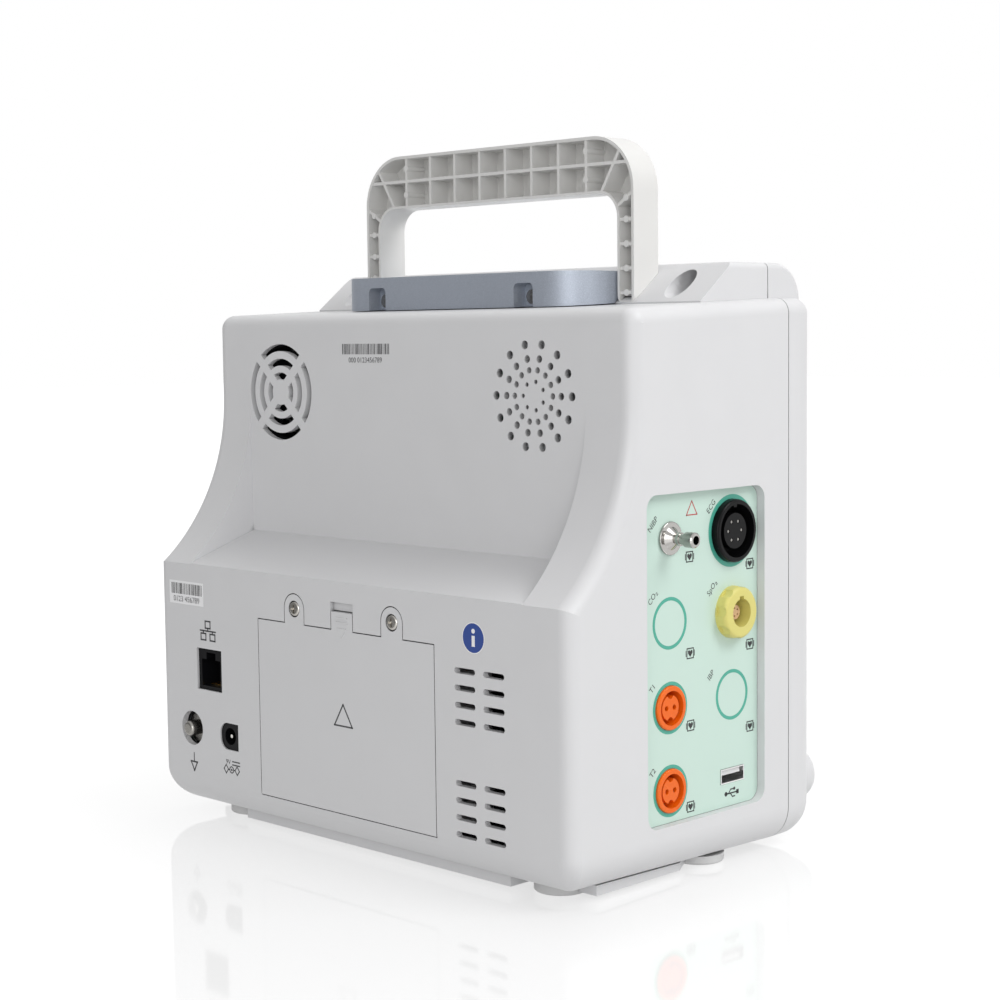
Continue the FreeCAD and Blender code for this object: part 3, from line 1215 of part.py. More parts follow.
def make_case_screws():
    screws = []
    for side, sign in (("right", "+"), ("left", "-")):
        head = cylinder(f"case_screw_head_{side}", 3.6, 2.6, (f"{sign}well_x", "well_depth_y", "well_z"),
                        "+y")
        rod = cylinder(f"case_screw_rod_{side}", 1.6, 17, (f"{sign}well_x", "well_depth_y + 0.1", "well_z"),
                       "-y")
        cross = [box(f"case_slot_{side}_{index}", (f"{sign}well_x - {wide}", f"{sign}well_x + {wide}"),
                     ("well_depth_y + 1.4", "well_depth_y + 4"), (f"well_z - {high}", f"well_z + {high}"))
                 for index, (wide, high) in enumerate(((2, 0.4), (0.4, 2)))]
        screws.append(fuse(f"case_screw_{side}", cut(f"case_screw_cross_{side}", head, *cross), rod))
    piece(group("case_screws", *screws))


make_rear_housing()
make_front_bezel()
make_display()
make_keys()
make_knob()
make_handle()
make_trim_block()
make_battery()
make_side_panel()
make_ecg()
make_spo2()
for label in ("temp_1", "temp_2"):
    make_temperature_socket(label)
make_nibp()
make_usb()
make_rear_connectors()
make_fan()
make_speaker()
make_inside()
make_base()
make_case_screws()
doc.recompute()

faults = [thing.Name for thing in doc.Objects if {"Invalid", "Error"} & set(thing.State)]
faults += [result.Label for result in pieces if result.Shape.isNull() or not result.Shape.isValid()]
if faults:
    raise RuntimeError("not built: " + ", ".join(faults))
os.makedirs("parts", exist_ok=True)
for result in pieces:
    result.Shape.exportStep(f"parts/{result.Label}.step")
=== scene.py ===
"""Patient monitor: materials, printed marks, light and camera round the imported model."""
import json
import math

import bmesh
import bpy
from mathutils import Matrix, Vector


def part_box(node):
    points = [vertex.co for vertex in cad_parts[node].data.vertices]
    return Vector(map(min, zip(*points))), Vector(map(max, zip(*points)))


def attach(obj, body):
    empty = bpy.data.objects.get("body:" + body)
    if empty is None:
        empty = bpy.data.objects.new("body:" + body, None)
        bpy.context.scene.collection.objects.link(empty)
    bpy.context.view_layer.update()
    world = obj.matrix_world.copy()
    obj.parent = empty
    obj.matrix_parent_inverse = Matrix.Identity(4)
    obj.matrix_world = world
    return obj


MM = 0.001

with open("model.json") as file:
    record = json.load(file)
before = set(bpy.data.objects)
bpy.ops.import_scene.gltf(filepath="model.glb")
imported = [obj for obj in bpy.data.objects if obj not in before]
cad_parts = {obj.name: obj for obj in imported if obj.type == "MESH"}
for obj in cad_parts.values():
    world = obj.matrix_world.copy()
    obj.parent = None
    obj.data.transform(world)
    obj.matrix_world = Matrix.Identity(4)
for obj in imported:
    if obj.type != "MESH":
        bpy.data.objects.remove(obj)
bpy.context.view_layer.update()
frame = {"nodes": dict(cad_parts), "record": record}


# ---------------------------------------------------------------- node materials
NOISE_LIMITS = (0.3, 0.7)
# Ambient occlusion levels over which the painted shade in gaps and holes fades in.
PAINTED_SHADE_LIMITS = (0.12, 0.48)


def new_material(name):
    material = bpy.data.materials.new(name)
    material.use_nodes = True
    tree = material.node_tree
    shader = tree.nodes["Principled BSDF"]
    return material, tree, shader


def noise(tree, scale, detail=3, rough=0.5, stretch=(1, 1, 1)):
    """Noise in the object's own coordinates, in metres, so its scale is features per metre."""
    place = tree.nodes.new("ShaderNodeTexCoord")
    turn = tree.nodes.new("ShaderNodeMapping")
    turn.inputs["Scale"].default_value = stretch
    texture = tree.nodes.new("ShaderNodeTexNoise")
    texture.inputs["Scale"].default_value = scale
    texture.inputs["Detail"].default_value = detail
    texture.inputs["Roughness"].default_value = rough
    tree.links.new(place.outputs["Object"], turn.inputs["Vector"])
    tree.links.new(turn.outputs["Vector"], texture.inputs["Vector"])
    return texture


def remap(tree, source, before, after):
    """A value moved from one pair of limits to another, and kept between them."""
    levels = tree.nodes.new("ShaderNodeMapRange")
    for end, limit in zip(("From Min", "From Max", "To Min", "To Max"), (*before, *after)):
        levels.inputs[end].default_value = limit
    tree.links.new(source, levels.inputs["Value"])
    return levels.outputs["Result"]


def vary(tree, source, low, high, target):
    """Drive a shader value from a texture, between two limits."""
    tree.links.new(remap(tree, source, NOISE_LIMITS, (low, high)), target)


def colour_mix(tree, factor, first, second):
    """A colour between two, by a factor from another node."""
    mix = tree.nodes.new("ShaderNodeMix")
    mix.data_type = "RGBA"
    mix.inputs["A"].default_value = (*first, 1)
    mix.inputs["B"].default_value = (*second, 1)
    tree.links.new(factor, mix.inputs["Factor"])
    return mix


def tint(tree, source, colour, amount, target):
    """A colour that drifts a little darker and lighter with a texture."""
    dark = [channel * (1 - amount) for channel in colour]
    light = [min(1, channel * (1 + amount)) for channel in colour]
    tree.links.new(colour_mix(tree, source, dark, light).outputs["Result"], target)


def relief(tree, shader, source, strength, depth):
    """Fine bumps on a surface, with their depth in metres."""
    bump = tree.nodes.new("ShaderNodeBump")
    bump.inputs["Strength"].default_value = strength
    bump.inputs["Distance"].default_value = depth
    tree.links.new(source, bump.inputs["Height"])
    tree.links.new(bump.outputs["Normal"], shader.inputs["Normal"])


def moulded(name, colour, rough=(0.38, 0.5), grain=2600, depth=0.03, drift=0.02, gloss=0.5):
    """Moulded plastic: fine spark-eroded grain, slow colour drift and uneven gloss."""
    material, tree, shader = new_material(name)
    fine = noise(tree, grain, 2)
    slow = noise(tree, 60, 2)
    tint(tree, slow.outputs["Fac"], colour, drift, shader.inputs["Base Color"])
    vary(tree, slow.outputs["Fac"], *rough, shader.inputs["Roughness"])
    relief(tree, shader, fine.outputs["Fac"], 0.35, depth * MM)
    shader.inputs["Specular IOR Level"].default_value = gloss
    return material


def paint_gap_shade(material, reach, dark):
    """Painted shade: the plastic's colour darkened by ambient occlusion down in narrow gaps and holes, where
    little light comes back out.
    """
    tree = material.node_tree
    shader = tree.nodes["Principled BSDF"]
    colour = shader.inputs["Base Color"].links[0].from_socket
    openness = tree.nodes.new("ShaderNodeAmbientOcclusion")
    openness.samples = 8
    openness.inputs["Distance"].default_value = reach * MM
    # Painted shade: the less open the surface, the darker its colour.
    shade_level = remap(tree, openness.outputs["AO"], PAINTED_SHADE_LIMITS, (dark, 1))
    mix = colour_mix(tree, shade_level, (0, 0, 0), (1, 1, 1))
    tree.links.new(colour, mix.inputs["B"])
    tree.links.new(mix.outputs["Result"], shader.inputs["Base Color"])
    return material


def metal(name, colour, rough=(0.15, 0.25), stretch=(1, 1, 1), grain=900, depth=0.01, drift=0.05):
    """Bare or plated metal with a drawn or turned grain."""
    material, tree, shader = new_material(name)
    lines = noise(tree, grain, 3, 0.6, stretch)
    shader.inputs["Metallic"].default_value = 1
    tint(tree, lines.outputs["Fac"], colour, drift, shader.inputs["Base Color"])
    vary(tree, lines.outputs["Fac"], *rough, shader.inputs["Roughness"])
    relief(tree, shader, lines.outputs["Fac"], 0.25, depth * MM)
    return material


def lacquer(name, colour, flake):
    """Metallic lacquer over plastic: bright flakes under a clear coat."""
    material, tree, shader = new_material(name)
    place = tree.nodes.new("ShaderNodeTexCoord")
    cells = tree.nodes.new("ShaderNodeTexVoronoi")
    cells.inputs["Scale"].default_value = 5200
    tree.links.new(place.outputs["Object"], cells.inputs["Vector"])
    slow = noise(tree, 40, 2)
    mix = colour_mix(tree, cells.outputs["Distance"], colour, flake)
    tree.links.new(mix.outputs["Result"], shader.inputs["Base Color"])
    vary(tree, slow.outputs["Fac"], 0.4, 0.48, shader.inputs["Roughness"])
    relief(tree, shader, cells.outputs["Distance"], 0.12, 0.02 * MM)
    shader.inputs["Metallic"].default_value = 0.4
    shader.inputs["Specular IOR Level"].default_value = 0.3
    shader.inputs["Coat Weight"].default_value = 0.06
    shader.inputs["Coat Roughness"].default_value = 0.3
    return material


def board(name, colour, track):
    """Circuit board: solder mask over a lattice of slightly raised tracks."""
    material, tree, shader = new_material(name)
    place = tree.nodes.new("ShaderNodeTexCoord")
    cells = tree.nodes.new("ShaderNodeTexBrick")
    cells.inputs["Scale"].default_value = 160
    cells.inputs["Mortar Size"].default_value = 0.03
    cells.inputs["Color1"].default_value = (*colour, 1)
    cells.inputs["Color2"].default_value = (*[channel * 0.8 for channel in colour], 1)
    cells.inputs["Mortar"].default_value = (*track, 1)
    tree.links.new(place.outputs["Object"], cells.inputs["Vector"])
    tree.links.new(cells.outputs["Color"], shader.inputs["Base Color"])
    slow = noise(tree, 90, 2)
    vary(tree, slow.outputs["Fac"], 0.25, 0.4, shader.inputs["Roughness"])
    relief(tree, shader, cells.outputs["Fac"], 0.3, 0.05 * MM)
    return material


def clear(name, colour, rough):
    """Slightly smoked window with a very slight unevenness."""
    material, tree, shader = new_material(name)
    slow = noise(tree, 30, 2)
    tint(tree, slow.outputs["Fac"], colour, 0.02, shader.inputs["Base Color"])
    vary(tree, slow.outputs["Fac"], *rough, shader.inputs["Roughness"])
    shader.inputs["Transmission Weight"].default_value = 1
    shader.inputs["IOR"].default_value = 1.45
    shader.inputs["Specular IOR Level"].default_value = 0.3
    return material


WHITE = (0.655, 0.655, 0.665)
LOOKS = {
    # The casing plastic carries painted shade in its gaps and holes.
    "casing_plastic": paint_gap_shade(moulded("casing_plastic", WHITE, (0.36, 0.46)), 4, 0.08),
    "handle_plastic": moulded("handle_plastic", (0.70, 0.695, 0.68), (0.34, 0.46)),
    "trim_lacquer": lacquer("trim_lacquer", (0.27, 0.30, 0.355), (0.50, 0.54, 0.61)),
    "screw_steel": metal("screw_steel", (0.50, 0.48, 0.45), (0.16, 0.28), (1, 1, 6)),
    "panel_mint": moulded("panel_mint", (0.545, 0.70, 0.625), (0.28, 0.36), 1800, 0.01, 0.015),
    "socket_black": moulded("socket_black", (0.003, 0.003, 0.0035), (0.24, 0.34), 1500, 0.01, gloss=0.12),
    "contact_nickel": metal("contact_nickel", (0.78, 0.76, 0.72), (0.12, 0.2)),
    "socket_yellow": moulded("socket_yellow", (0.66, 0.60, 0.175), (0.34, 0.46), 1900, 0.02, 0.03),
    "socket_orange": moulded("socket_orange", (0.82, 0.135, 0.005), (0.24, 0.34), 1900, gloss=0.3),
    "nozzle_chrome": metal("nozzle_chrome", (0.38, 0.37, 0.355), (0.1, 0.18), (1, 1, 1), 500, 0.004, 0.04),
    "hose_rubber": moulded("hose_rubber", (0.7, 0.7, 0.68), (0.6, 0.7), 1500, 0.04),
    "port_steel": metal("port_steel", (0.70, 0.70, 0.70), (0.14, 0.24), (1, 1, 5)),
    "port_black": moulded("port_black", (0.004, 0.004, 0.005), (0.3, 0.42), 1700, 0.02, gloss=0.14),
    "contact_gold": metal("contact_gold", (0.88, 0.62, 0.26), (0.15, 0.25)),
    "foot_rubber": moulded("foot_rubber", (0.62, 0.62, 0.62), (0.5, 0.62), 1300, 0.05, 0.04),
    "plate_paint": moulded("plate_paint", (0.66, 0.66, 0.67), (0.42, 0.55), 1000, 0.06, 0.03),
    "window_glass": clear("window_glass", (0.72, 0.74, 0.75), (0.01, 0.03)),
    "display_dark": moulded("display_dark", (0.008, 0.010, 0.014), (0.24, 0.32), 4000, 0.0005, gloss=0.15),
    "bracket_zinc": metal("bracket_zinc", (0.62, 0.64, 0.66), (0.3, 0.45), (1, 1, 4), 400, 0.02, 0.1),
    "lamp_lens": moulded("lamp_lens", (0.86, 0.86, 0.82), (0.2, 0.28), 900, 0.05),
    "key_grey": moulded("key_grey", (0.32, 0.35, 0.39), (0.4, 0.52)),
    "knob_plastic": moulded("knob_plastic", (0.68, 0.68, 0.69), (0.3, 0.4)),
    "board_green": board("board_green", (0.02, 0.13, 0.06), (0.10, 0.26, 0.12)),
    "battery_grey": moulded("battery_grey", (0.06, 0.065, 0.07), (0.3, 0.42), 700, 0.05),
    "speaker_paper": moulded("speaker_paper", (0.02, 0.02, 0.02), (0.8, 0.9), 800, 0.12, 0.1),
    "pump_metal": metal("pump_metal", (0.68, 0.69, 0.70), (0.25, 0.4), (1, 1, 5)),
}
# Pieces whose finish differs a little from the rest of their slot. The trim screws are made dark steel as
# painted shade for the slots they sit in.
OWN_LOOKS = {
    "ground_stud": metal("stud_steel", (0.30, 0.29, 0.27), (0.2, 0.32), (1, 8, 1)),
    "cover_screws": metal("cover_screw_steel", (0.46, 0.44, 0.41), (0.14, 0.24), (1, 1, 6)),
    "usb_tongue": moulded("tongue_white", (0.7, 0.7, 0.7), (0.3, 0.4), 1500, 0.02),
    # Painted shade: dark screw steel that stands in for the shade down in the trim block's slots.
    "trim_screws": metal("trim_screw_steel_painted_shade", (0.17, 0.165, 0.16), (0.2, 0.3), (6, 1, 1)),
    "ecg_pins": metal("pin_dull", (0.28, 0.27, 0.255), (0.26, 0.36)),
    "spo2_insert": moulded("spo2_core", (0.62, 0.40, 0.22), (0.36, 0.46), 1900, 0.02, 0.04),
}
for entry in frame["record"]["subparts"]:
    node = frame["nodes"][entry["node"]]
    node.data.materials.clear()
    node.data.materials.append(OWN_LOOKS.get(entry["node"], LOOKS[entry["material_slot"]]))

INKS = {
    "ink_black": moulded("ink_black", (0.012, 0.012, 0.013), (0.4, 0.5), 2600, 0.02, 0.08),
    "ink_grey": moulded("ink_grey", (0.05, 0.05, 0.053), (0.4, 0.5), 2600, 0.02, 0.08),
    "ink_teal": moulded("ink_teal", (0.06, 0.37, 0.275), (0.35, 0.45), 2600, 0.02, 0.03),
    "ink_red": moulded("ink_red", (0.45, 0.08, 0.07), (0.35, 0.45), 2600, 0.02, 0.05),
    "ink_blue": moulded("ink_blue", (0.02, 0.06, 0.28), (0.3, 0.4), 2600, 0.02, 0.04),
    "ink_white": moulded("ink_white", (0.85, 0.85, 0.86), (0.35, 0.45), 2600, 0.02, 0.02),
}


# ---------------------------------------------------------------- printed marks
PANEL_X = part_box("side_panel")[0].x / MM
REAR_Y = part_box("rear_housing")[1].y / MM
STEP_Y = 37.5
PRINT = 0.03
LIFT = 0.01
ON_INK = LIFT + PRINT
CAP_HEIGHT = 0.7


def on_panel(across, up, out):
    """A place on the side panel: across runs along +Y, out is the height above the surface."""
    return Vector(((PANEL_X - out) * MM, across * MM, up * MM))


def on_rear(across, up, out):
    """A place on the lower rear face: across runs along +X."""
    return Vector((across * MM, (REAR_Y + out) * MM, up * MM))


def on_step(across, up, out):
    """A place on the stepped-back upper rear face."""
    return Vector((across * MM, (STEP_Y + out) * MM, up * MM))


def marks(name, outlines, place, ink, body="casing", lift=LIFT):
    """Flat printed shapes, each an outline of corners, raised by the thickness of the ink."""
    shape = bmesh.new()
    for outline in outlines:
        low = [shape.verts.new(place(a, b, lift)) for a, b in outline]
        high = [shape.verts.new(place(a, b, lift + PRINT)) for a, b in outline]
        shape.faces.new(high)
        shape.faces.new(low[::-1])
        for index in range(len(outline)):
            following = (index + 1) % len(outline)
            shape.faces.new((low[index], low[following], high[following], high[index]))
    bmesh.ops.recalc_face_normals(shape, faces=shape.faces)
    settle(name, shape, ink, body)


def settle(name, shape, ink, body):
    """Finish a printed mark: its ink, and the body that it rides on."""
    data = bpy.data.meshes.new(name)
    shape.to_mesh(data)
    shape.free()
    thing = bpy.data.objects.new(name, data)
    bpy.context.scene.collection.objects.link(thing)
    data.materials.append(INKS[ink])
    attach(thing, body)


def arc(centre, radius, start=0, end=360, steps=96):
    """Points on a circle, or on the part of it between two angles, both ends included."""
    return [(centre[0] + radius * math.cos(math.radians(start + (end - start) * step / steps)),
             centre[1] + radius * math.sin(math.radians(start + (end - start) * step / steps)))
            for step in range(steps + (end - start < 360))]


def ring(centre, outer, inner, parts=24):
    """A ring as short pieces that meet edge to edge."""
    pieces = []
    for index in range(parts):
        start, end = 360 * index / parts, 360 * (index + 1) / parts
        pieces.append(arc(centre, outer, start, end, 4) + arc(centre, inner, start, end, 4)[::-1])
    return pieces


def stroke(points, width, closed=False):
    """A line through points, as one outline for each straight run."""
    runs = list(zip(points, points[1:] + points[:1] if closed else points[1:]))
    outlines = []
    for (ax, ay), (bx, by) in runs:
        length = math.hypot(bx - ax, by - ay)
        ux, uy = (bx - ax) / length * width / 2, (by - ay) / length * width / 2
        outlines.append([(ax - ux - uy, ay - uy + ux), (bx + ux - uy, by + uy + ux),
                         (bx + ux + uy, by + uy - ux), (ax - ux + uy, ay - uy - ux)])
    return outlines


def rectangle(low, high):
    """The four corners of an upright rectangle."""
    return [(low[0], low[1]), (high[0], low[1]), (high[0], high[1]), (low[0], high[1])]


def lettering(name, words, place, centre, height, lean, flip, ink, body="casing"):
    """Short plain lettering, turned by lean degrees. flip is -1 where the across axis runs to the left."""
    curve = bpy.data.curves.new(name + "_curve", "FONT")
    curve.body = words
    curve.size = height / CAP_HEIGHT
    curve.align_x = "CENTER"
    curve.align_y = "CENTER"
    curve.resolution_u = 3
    holder = bpy.data.objects.new(name + "_holder", curve)
    bpy.context.scene.collection.objects.link(holder)
    data = bpy.data.meshes.new_from_object(holder)
    bpy.data.objects.remove(holder)
    shape = bmesh.new()
    shape.from_mesh(data)
    bpy.data.meshes.remove(data)
    turn = math.radians(lean)
    for vertex in shape.verts:
        x, y = vertex.co.x, vertex.co.y
        across = x * math.cos(turn) - y * math.sin(turn)
        up = x * math.sin(turn) + y * math.cos(turn)
        vertex.co = place(centre[0] + flip * across, centre[1] + up, ON_INK)
    bmesh.ops.recalc_face_normals(shape, faces=shape.faces)
    settle(name, shape, ink, body)


# Rings and labels of the side panel. Across is the place along Y.
ROWS = {"a": 121.2, "b": 91.5, "c": 61.7, "d": 32.3}
REAR_COLUMN, FRONT_COLUMN = 15.0, -19.6
for label, centre, outer, inner in (
    ("co2", (REAR_COLUMN, ROWS["b"]), 9.2, 7.95),
    ("ibp", (FRONT_COLUMN, ROWS["c"]), 9.2, 7.95),
    ("temp_1", (REAR_COLUMN, ROWS["c"]), 9.25, 7.95),
    ("temp_2", (REAR_COLUMN, ROWS["d"]), 9.25, 7.95),
    ("ecg", (FRONT_COLUMN, ROWS["a"]), 13.1, 11.45),
):
    marks("ring_" + label, ring(centre, outer, inner), on_panel, "ink_teal")
LETTERING = (
    ("nibp", "NIBP", (23.8, 126.6)),
    ("co2", "CO₂", (24.0, 101.3)),
    ("ecg", "ECG", (-8.0, 130.6)),
    ("spo2", "SpO₂", (-8.4, 101.5)),
    ("ibp", "IBP", (-7.6, 70.2)),
    ("t1", "T1", (24.4, 69.7)),
    ("t2", "T2", (24.5, 40.1)),
)
for label, words, centre in LETTERING:
    lettering("letters_" + label, words, on_panel, centre, 2.1, 46, -1, "ink_black")


def heart_box(centre):
    """A generic small heart in a box with one side bar on each side."""
    cx, cy = centre
    corners = [(-1.75, -1.75), (1.75, -1.75), (1.75, 1.75), (-1.75, 1.75)]
    box = stroke([(cx + a, cy + b) for a, b in corners], 0.4, True)
    bars = [rectangle((cx + side * 2.3 - 0.17, cy - 1.1), (cx + side * 2.3 + 0.17, cy + 1.1))
            for side in (-1, 1)]
    heart = [(cx, cy - 1.3), (cx + 1.25, cy + 0.1), (cx + 1.2, cy + 0.85), (cx + 0.6, cy + 1.2),
             (cx, cy + 0.7), (cx - 0.6, cy + 1.2), (cx - 1.2, cy + 0.85), (cx - 1.25, cy + 0.1)]
    return [*box, *bars, heart]


HEARTS = ((4.1, 113.8), (-30.2, 108.3), (3.9, 79.6), (-30.2, 78.8), (3.8, 53.8), (-30.2, 48.5), (4.0, 24.7))
marks("heart_marks", [outline for centre in HEARTS for outline in heart_box(centre)], on_panel, "ink_black")
marks("panel_triangle", stroke([(2.8, 133.4), (5.7, 128.5), (-0.1, 128.5)], 0.42, True), on_panel, "ink_red")
marks("port_glyph", [*stroke([(-16.3, 25.6), (-22.6, 25.6)], 0.5), rectangle((-23.5, 24.8), (-22.1, 26.4)),
                     *stroke([(-17.6, 25.6), (-18.8, 27.0), (-20.4, 27.0)], 0.45),
                     *stroke([(-18.6, 25.6), (-19.8, 24.2), (-21.2, 24.2)], 0.45),
                     arc((-16.1, 25.6), 0.85, steps=20), arc((-20.9, 27.0), 0.6, steps=20)],
      on_panel, "ink_black")

# Marks of the lower rear face. Across is the place along X.
marks("network_glyph", [
    *stroke([(80.0, 77.2), (83.2, 77.2), (83.2, 80.0), (80.0, 80.0)], 0.6, True),
    *stroke([(77.0, 72.4), (80.2, 72.4), (80.2, 75.0), (77.0, 75.0)], 0.6, True),
    *stroke([(82.9, 72.4), (86.1, 72.4), (86.1, 75.0), (82.9, 75.0)], 0.6, True),
    *stroke([(76.6, 76.1), (86.5, 76.1)], 0.6),
    *stroke([(81.6, 76.1), (81.6, 77.2)], 0.6), *stroke([(78.6, 75.0), (78.6, 76.1)], 0.6),
    *stroke([(84.5, 75.0), (84.5, 76.1)], 0.6)], on_rear, "ink_grey")
marks("earth_arrow", [*stroke([(92.6, 25.6), (92.6, 22.0)], 0.5),
                      *stroke([(90.6, 22.0), (94.7, 22.0), (92.6, 18.4)], 0.65, True)], on_rear, "ink_grey")
marks("supply_glyph", [
    *stroke([(63.0, 25.6), (67.4, 25.6)], 0.5),
    *stroke([(63.0, 24.3), (64.1, 24.3)], 0.5), *stroke([(64.7, 24.3), (65.8, 24.3)], 0.5),
    *stroke([(66.4, 24.3), (67.5, 24.3)], 0.5),
    *stroke([(71.6, 23.9), (73.0, 22.2), (71.6, 20.5), (70.2, 22.2)], 0.45, True),
    *stroke([(64.6, 23.9), (66.0, 22.2), (64.6, 20.5), (63.2, 22.2)], 0.45, True),
    *stroke([(70.2, 22.2), (69.3, 22.2)], 0.45), *stroke([(66.9, 22.2), (66.0, 22.2)], 0.45),
    *ring((68.1, 22.2), 1.45, 1.0, 12), arc((68.1, 22.2), 0.5, steps=16)], on_rear, "ink_grey")
lettering("letters_supply", "9V", on_rear, (70.2, 25.1), 1.9, 0, -1, "ink_grey")
marks("manual_disc", [arc((-69.2, 88.6), 5.15)], on_rear, "ink_blue")
marks("manual_rim", ring((-69.2, 88.6), 5.45, 5.15, 36), on_rear, "ink_white")
marks("manual_dot", [arc((-69.2, 91.0), 0.85, steps=24), rectangle((-69.95, 85.6), (-68.45, 89.4))], on_rear,
      "ink_white", lift=ON_INK)
marks("cover_triangle", stroke([(0, 56.8), (5.0, 48.7), (-5.0, 48.7)], 0.6, True), on_rear, "ink_grey",
      "battery_door")


def code_bars(low, high, count, seed):
    """Plain upright bars of uneven width, standing for nothing."""
    wide = high[0] - low[0]
    bars = []
    value = seed
    for index in range(count):
        value = (value * 73 + 41) % 101
        start = low[0] + wide * index / count
        bars.append(rectangle((start, low[1]), (start + wide / count * (0.25 + 0.45 * value / 101), high[1])))
    return bars


marks("rear_bars", code_bars((7.6, 185.2), (35.0, 189.2), 34, 7), on_step, "ink_grey")
lettering("rear_digits", "000 0123456789", on_step, (21.3, 182.9), 2.0, 0, -1, "ink_grey")
marks("asset_label", [rectangle((84.0, 85.6), (106.4, 94.9))], on_rear, "ink_white")
marks("asset_bars", code_bars((85.0, 89.6), (105.6, 94.0), 24, 19), on_rear, "ink_black", lift=ON_INK)
lettering("asset_digits", "0123 456789", on_rear, (95.2, 87.5), 2.3, 0, -1, "ink_black")


# ---------------------------------------------------------------- floor, light and camera
FLOOR_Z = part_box("rubber_feet")[0].z
FLOOR_SIZE = 6
FLOOR_GLOW = 1.29
FLOOR_LIT = 0.45
FLOOR_GLOSS = 0.25
MATT_SHARE = 0.36
MATT_REACH = (0.13, 0.5)
WORLD_LIT = 0.435
CAMERA_TURN = (224.855, 4.840, -0.671)
CAMERA_PLACE = (-0.549632, 0.539096, 0.192866)
LENS = 71.17


def away(tree, vector, near, far, bright, dim):
    """A level that falls from bright to dim towards the +X +Y side, where the studio is dark."""
    along = tree.nodes.new("ShaderNodeVectorMath")
    along.operation = "DOT_PRODUCT"
    along.inputs[1].default_value = (math.sqrt(0.5), math.sqrt(0.5), 0)
    tree.links.new(vector, along.inputs[0])
    return remap(tree, along.outputs["Value"], (near, far), (bright, dim))


def by_ray(tree, seen, lit, mirrored):
    """A level for what the camera sees, for what lights soft surfaces and for what shiny ones mirror."""
    path = tree.nodes.new("ShaderNodeLightPath")
    soft = tree.nodes.new("ShaderNodeMix")
    soft.inputs["A"].default_value = seen
    soft.inputs["B"].default_value = lit
    shiny = tree.nodes.new("ShaderNodeMix")
    tree.links.new(path.outputs["Is Diffuse Ray"], soft.inputs["Factor"])
    tree.links.new(path.outputs["Is Glossy Ray"], shiny.inputs["Factor"])
    tree.links.new(soft.outputs["Result"], shiny.inputs["A"])
    tree.links.new(mirrored, shiny.inputs["B"])
    return shiny.outputs["Result"]


def make_floor():
    """A glowing pale floor, a little glossy, and part matt near the body so that it darkens under it."""
    shape = bmesh.new()
    bmesh.ops.create_grid(shape, x_segments=2, y_segments=2, size=FLOOR_SIZE)
    data = bpy.data.meshes.new("studio_floor")
    shape.to_mesh(data)
    shape.free()
    floor = bpy.data.objects.new("studio_floor", data)
    floor.location.z = FLOOR_Z
    bpy.context.scene.collection.objects.link(floor)
    material = bpy.data.materials.new("studio_floor")
    material.use_nodes = True
    tree = material.node_tree
    tree.nodes.clear()
    place = tree.nodes.new("ShaderNodeTexCoord")
    glow = tree.nodes.new("ShaderNodeEmission")
    mirrored = away(tree, place.outputs["Object"], 0.1, 0.7, 1.5, 0.2)
    tree.links.new(by_ray(tree, FLOOR_GLOW, FLOOR_LIT, mirrored), glow.inputs["Strength"])
    matt = tree.nodes.new("ShaderNodeBsdfDiffuse")
    gloss = tree.nodes.new("ShaderNodeBsdfGlossy")
    gloss.inputs["Roughness"].default_value = 0.06
    matt_mix = tree.nodes.new("ShaderNodeMixShader")
    reach = tree.nodes.new("ShaderNodeVectorMath")
    reach.operation = "LENGTH"
    tree.links.new(place.outputs["Object"], reach.inputs[0])
    fade = remap(tree, reach.outputs["Value"], MATT_REACH, (MATT_SHARE, 0))
    tree.links.new(fade, matt_mix.inputs["Fac"])
    gloss_mix = tree.nodes.new("ShaderNodeMixShader")
    gloss_mix.inputs["Fac"].default_value = FLOOR_GLOSS
    out = tree.nodes.new("ShaderNodeOutputMaterial")
    tree.links.new(glow.outputs["Emission"], matt_mix.inputs[1])
    tree.links.new(matt.outputs["BSDF"], matt_mix.inputs[2])
    tree.links.new(matt_mix.outputs["Shader"], gloss_mix.inputs[1])
    tree.links.new(gloss.outputs["BSDF"], gloss_mix.inputs[2])
    tree.links.new(gloss_mix.outputs["Shader"], out.inputs["Surface"])
    data.materials.append(material)


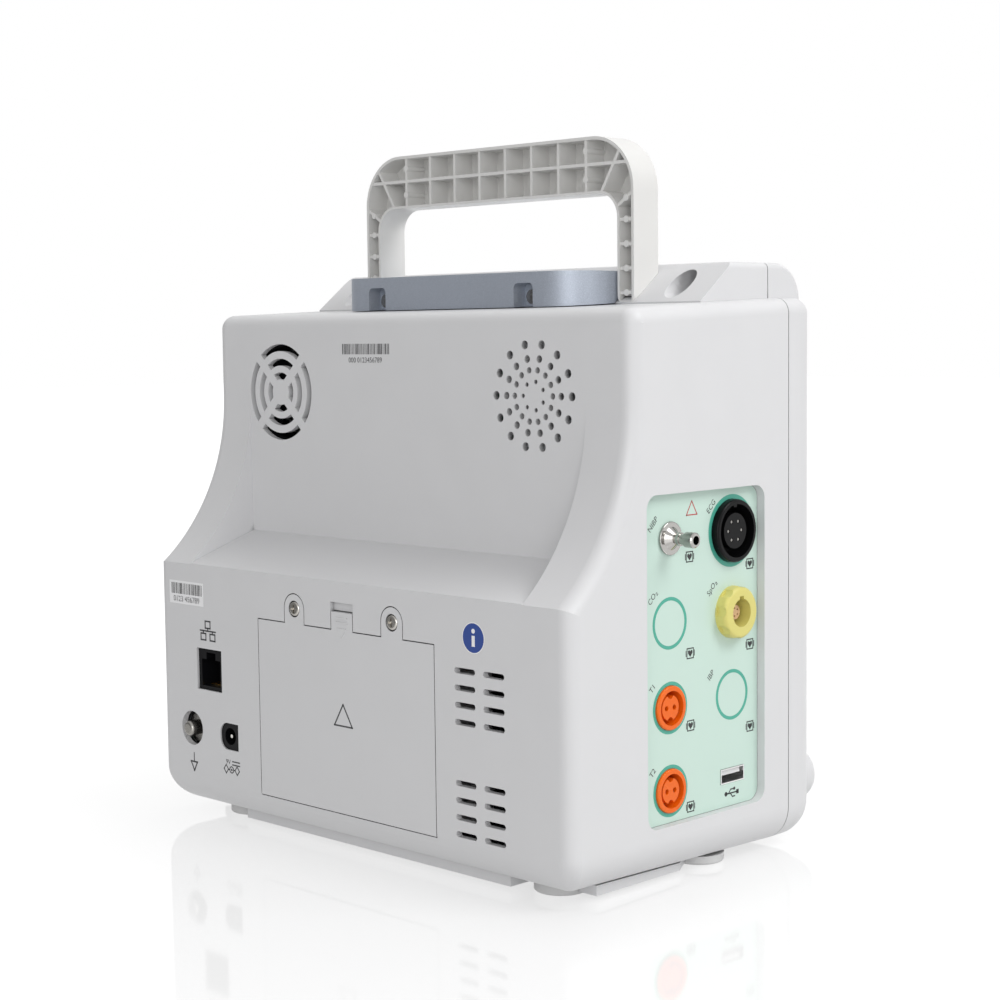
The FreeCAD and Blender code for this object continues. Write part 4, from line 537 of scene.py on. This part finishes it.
def make_world(lit):
    """White surroundings, dimmer for what they light and for what mirrors their dark side."""
    world = bpy.data.worlds.new("studio")
    bpy.context.scene.world = world
    world.use_nodes = True
    tree = world.node_tree
    place = tree.nodes.new("ShaderNodeTexCoord")
    back = tree.nodes["Background"]
    back.inputs["Color"].default_value = (1, 1, 1, 1)
    mirrored = away(tree, place.outputs["Generated"], 0.45, 0.95, 1.0, 0.3)
    tree.links.new(by_ray(tree, 1.0, lit, mirrored), back.inputs["Strength"])


def make_light(name, place, target, size, power):
    """A square soft light, aimed at a point."""
    lamp = bpy.data.lights.new(name, "AREA")
    lamp.shape = "SQUARE"
    lamp.size = size
    lamp.energy = power
    holder = bpy.data.objects.new(name, lamp)
    holder.location = place
    holder.rotation_mode = "QUATERNION"
    holder.rotation_quaternion = (Vector(target) - Vector(place)).to_track_quat("-Z", "Y")
    bpy.context.scene.collection.objects.link(holder)


def make_camera():
    """The photograph's camera: turned round the part, raised and slightly rolled."""
    azimuth, elevation, roll = (math.radians(angle) for angle in CAMERA_TURN)
    back = Vector((math.sin(azimuth) * math.cos(elevation), -math.cos(azimuth) * math.cos(elevation),
                   math.sin(elevation)))
    right = Vector((0, 0, 1)).cross(back).normalized()
    up = back.cross(right)
    turned = right * math.cos(roll) + up * math.sin(roll)
    upright = up * math.cos(roll) - right * math.sin(roll)
    lens = bpy.data.cameras.new("camera")
    lens.sensor_width = 36
    lens.lens = LENS
    lens.clip_start = 0.01
    lens.clip_end = 50
    camera = bpy.data.objects.new("camera", lens)
    camera.matrix_world = Matrix.Translation(CAMERA_PLACE) @ Matrix(
        (turned, upright, back)).transposed().to_4x4()
    bpy.context.scene.collection.objects.link(camera)
    bpy.context.scene.camera = camera


make_floor()
make_world(WORLD_LIT)
make_light("side_light", (-1.3, -0.5, 1.4), (-0.1, 0, 0.12), 0.9, 17.5)
make_light("rear_light", (-1.1, 1.2, 0.4), (0, 0, 0.12), 1.2, 11)
make_light("top_light", (0.2, -0.5, 1.6), (0, 0, 0.15), 1.2, 5)
make_camera()
bpy.context.scene.view_settings.view_transform = "Standard"
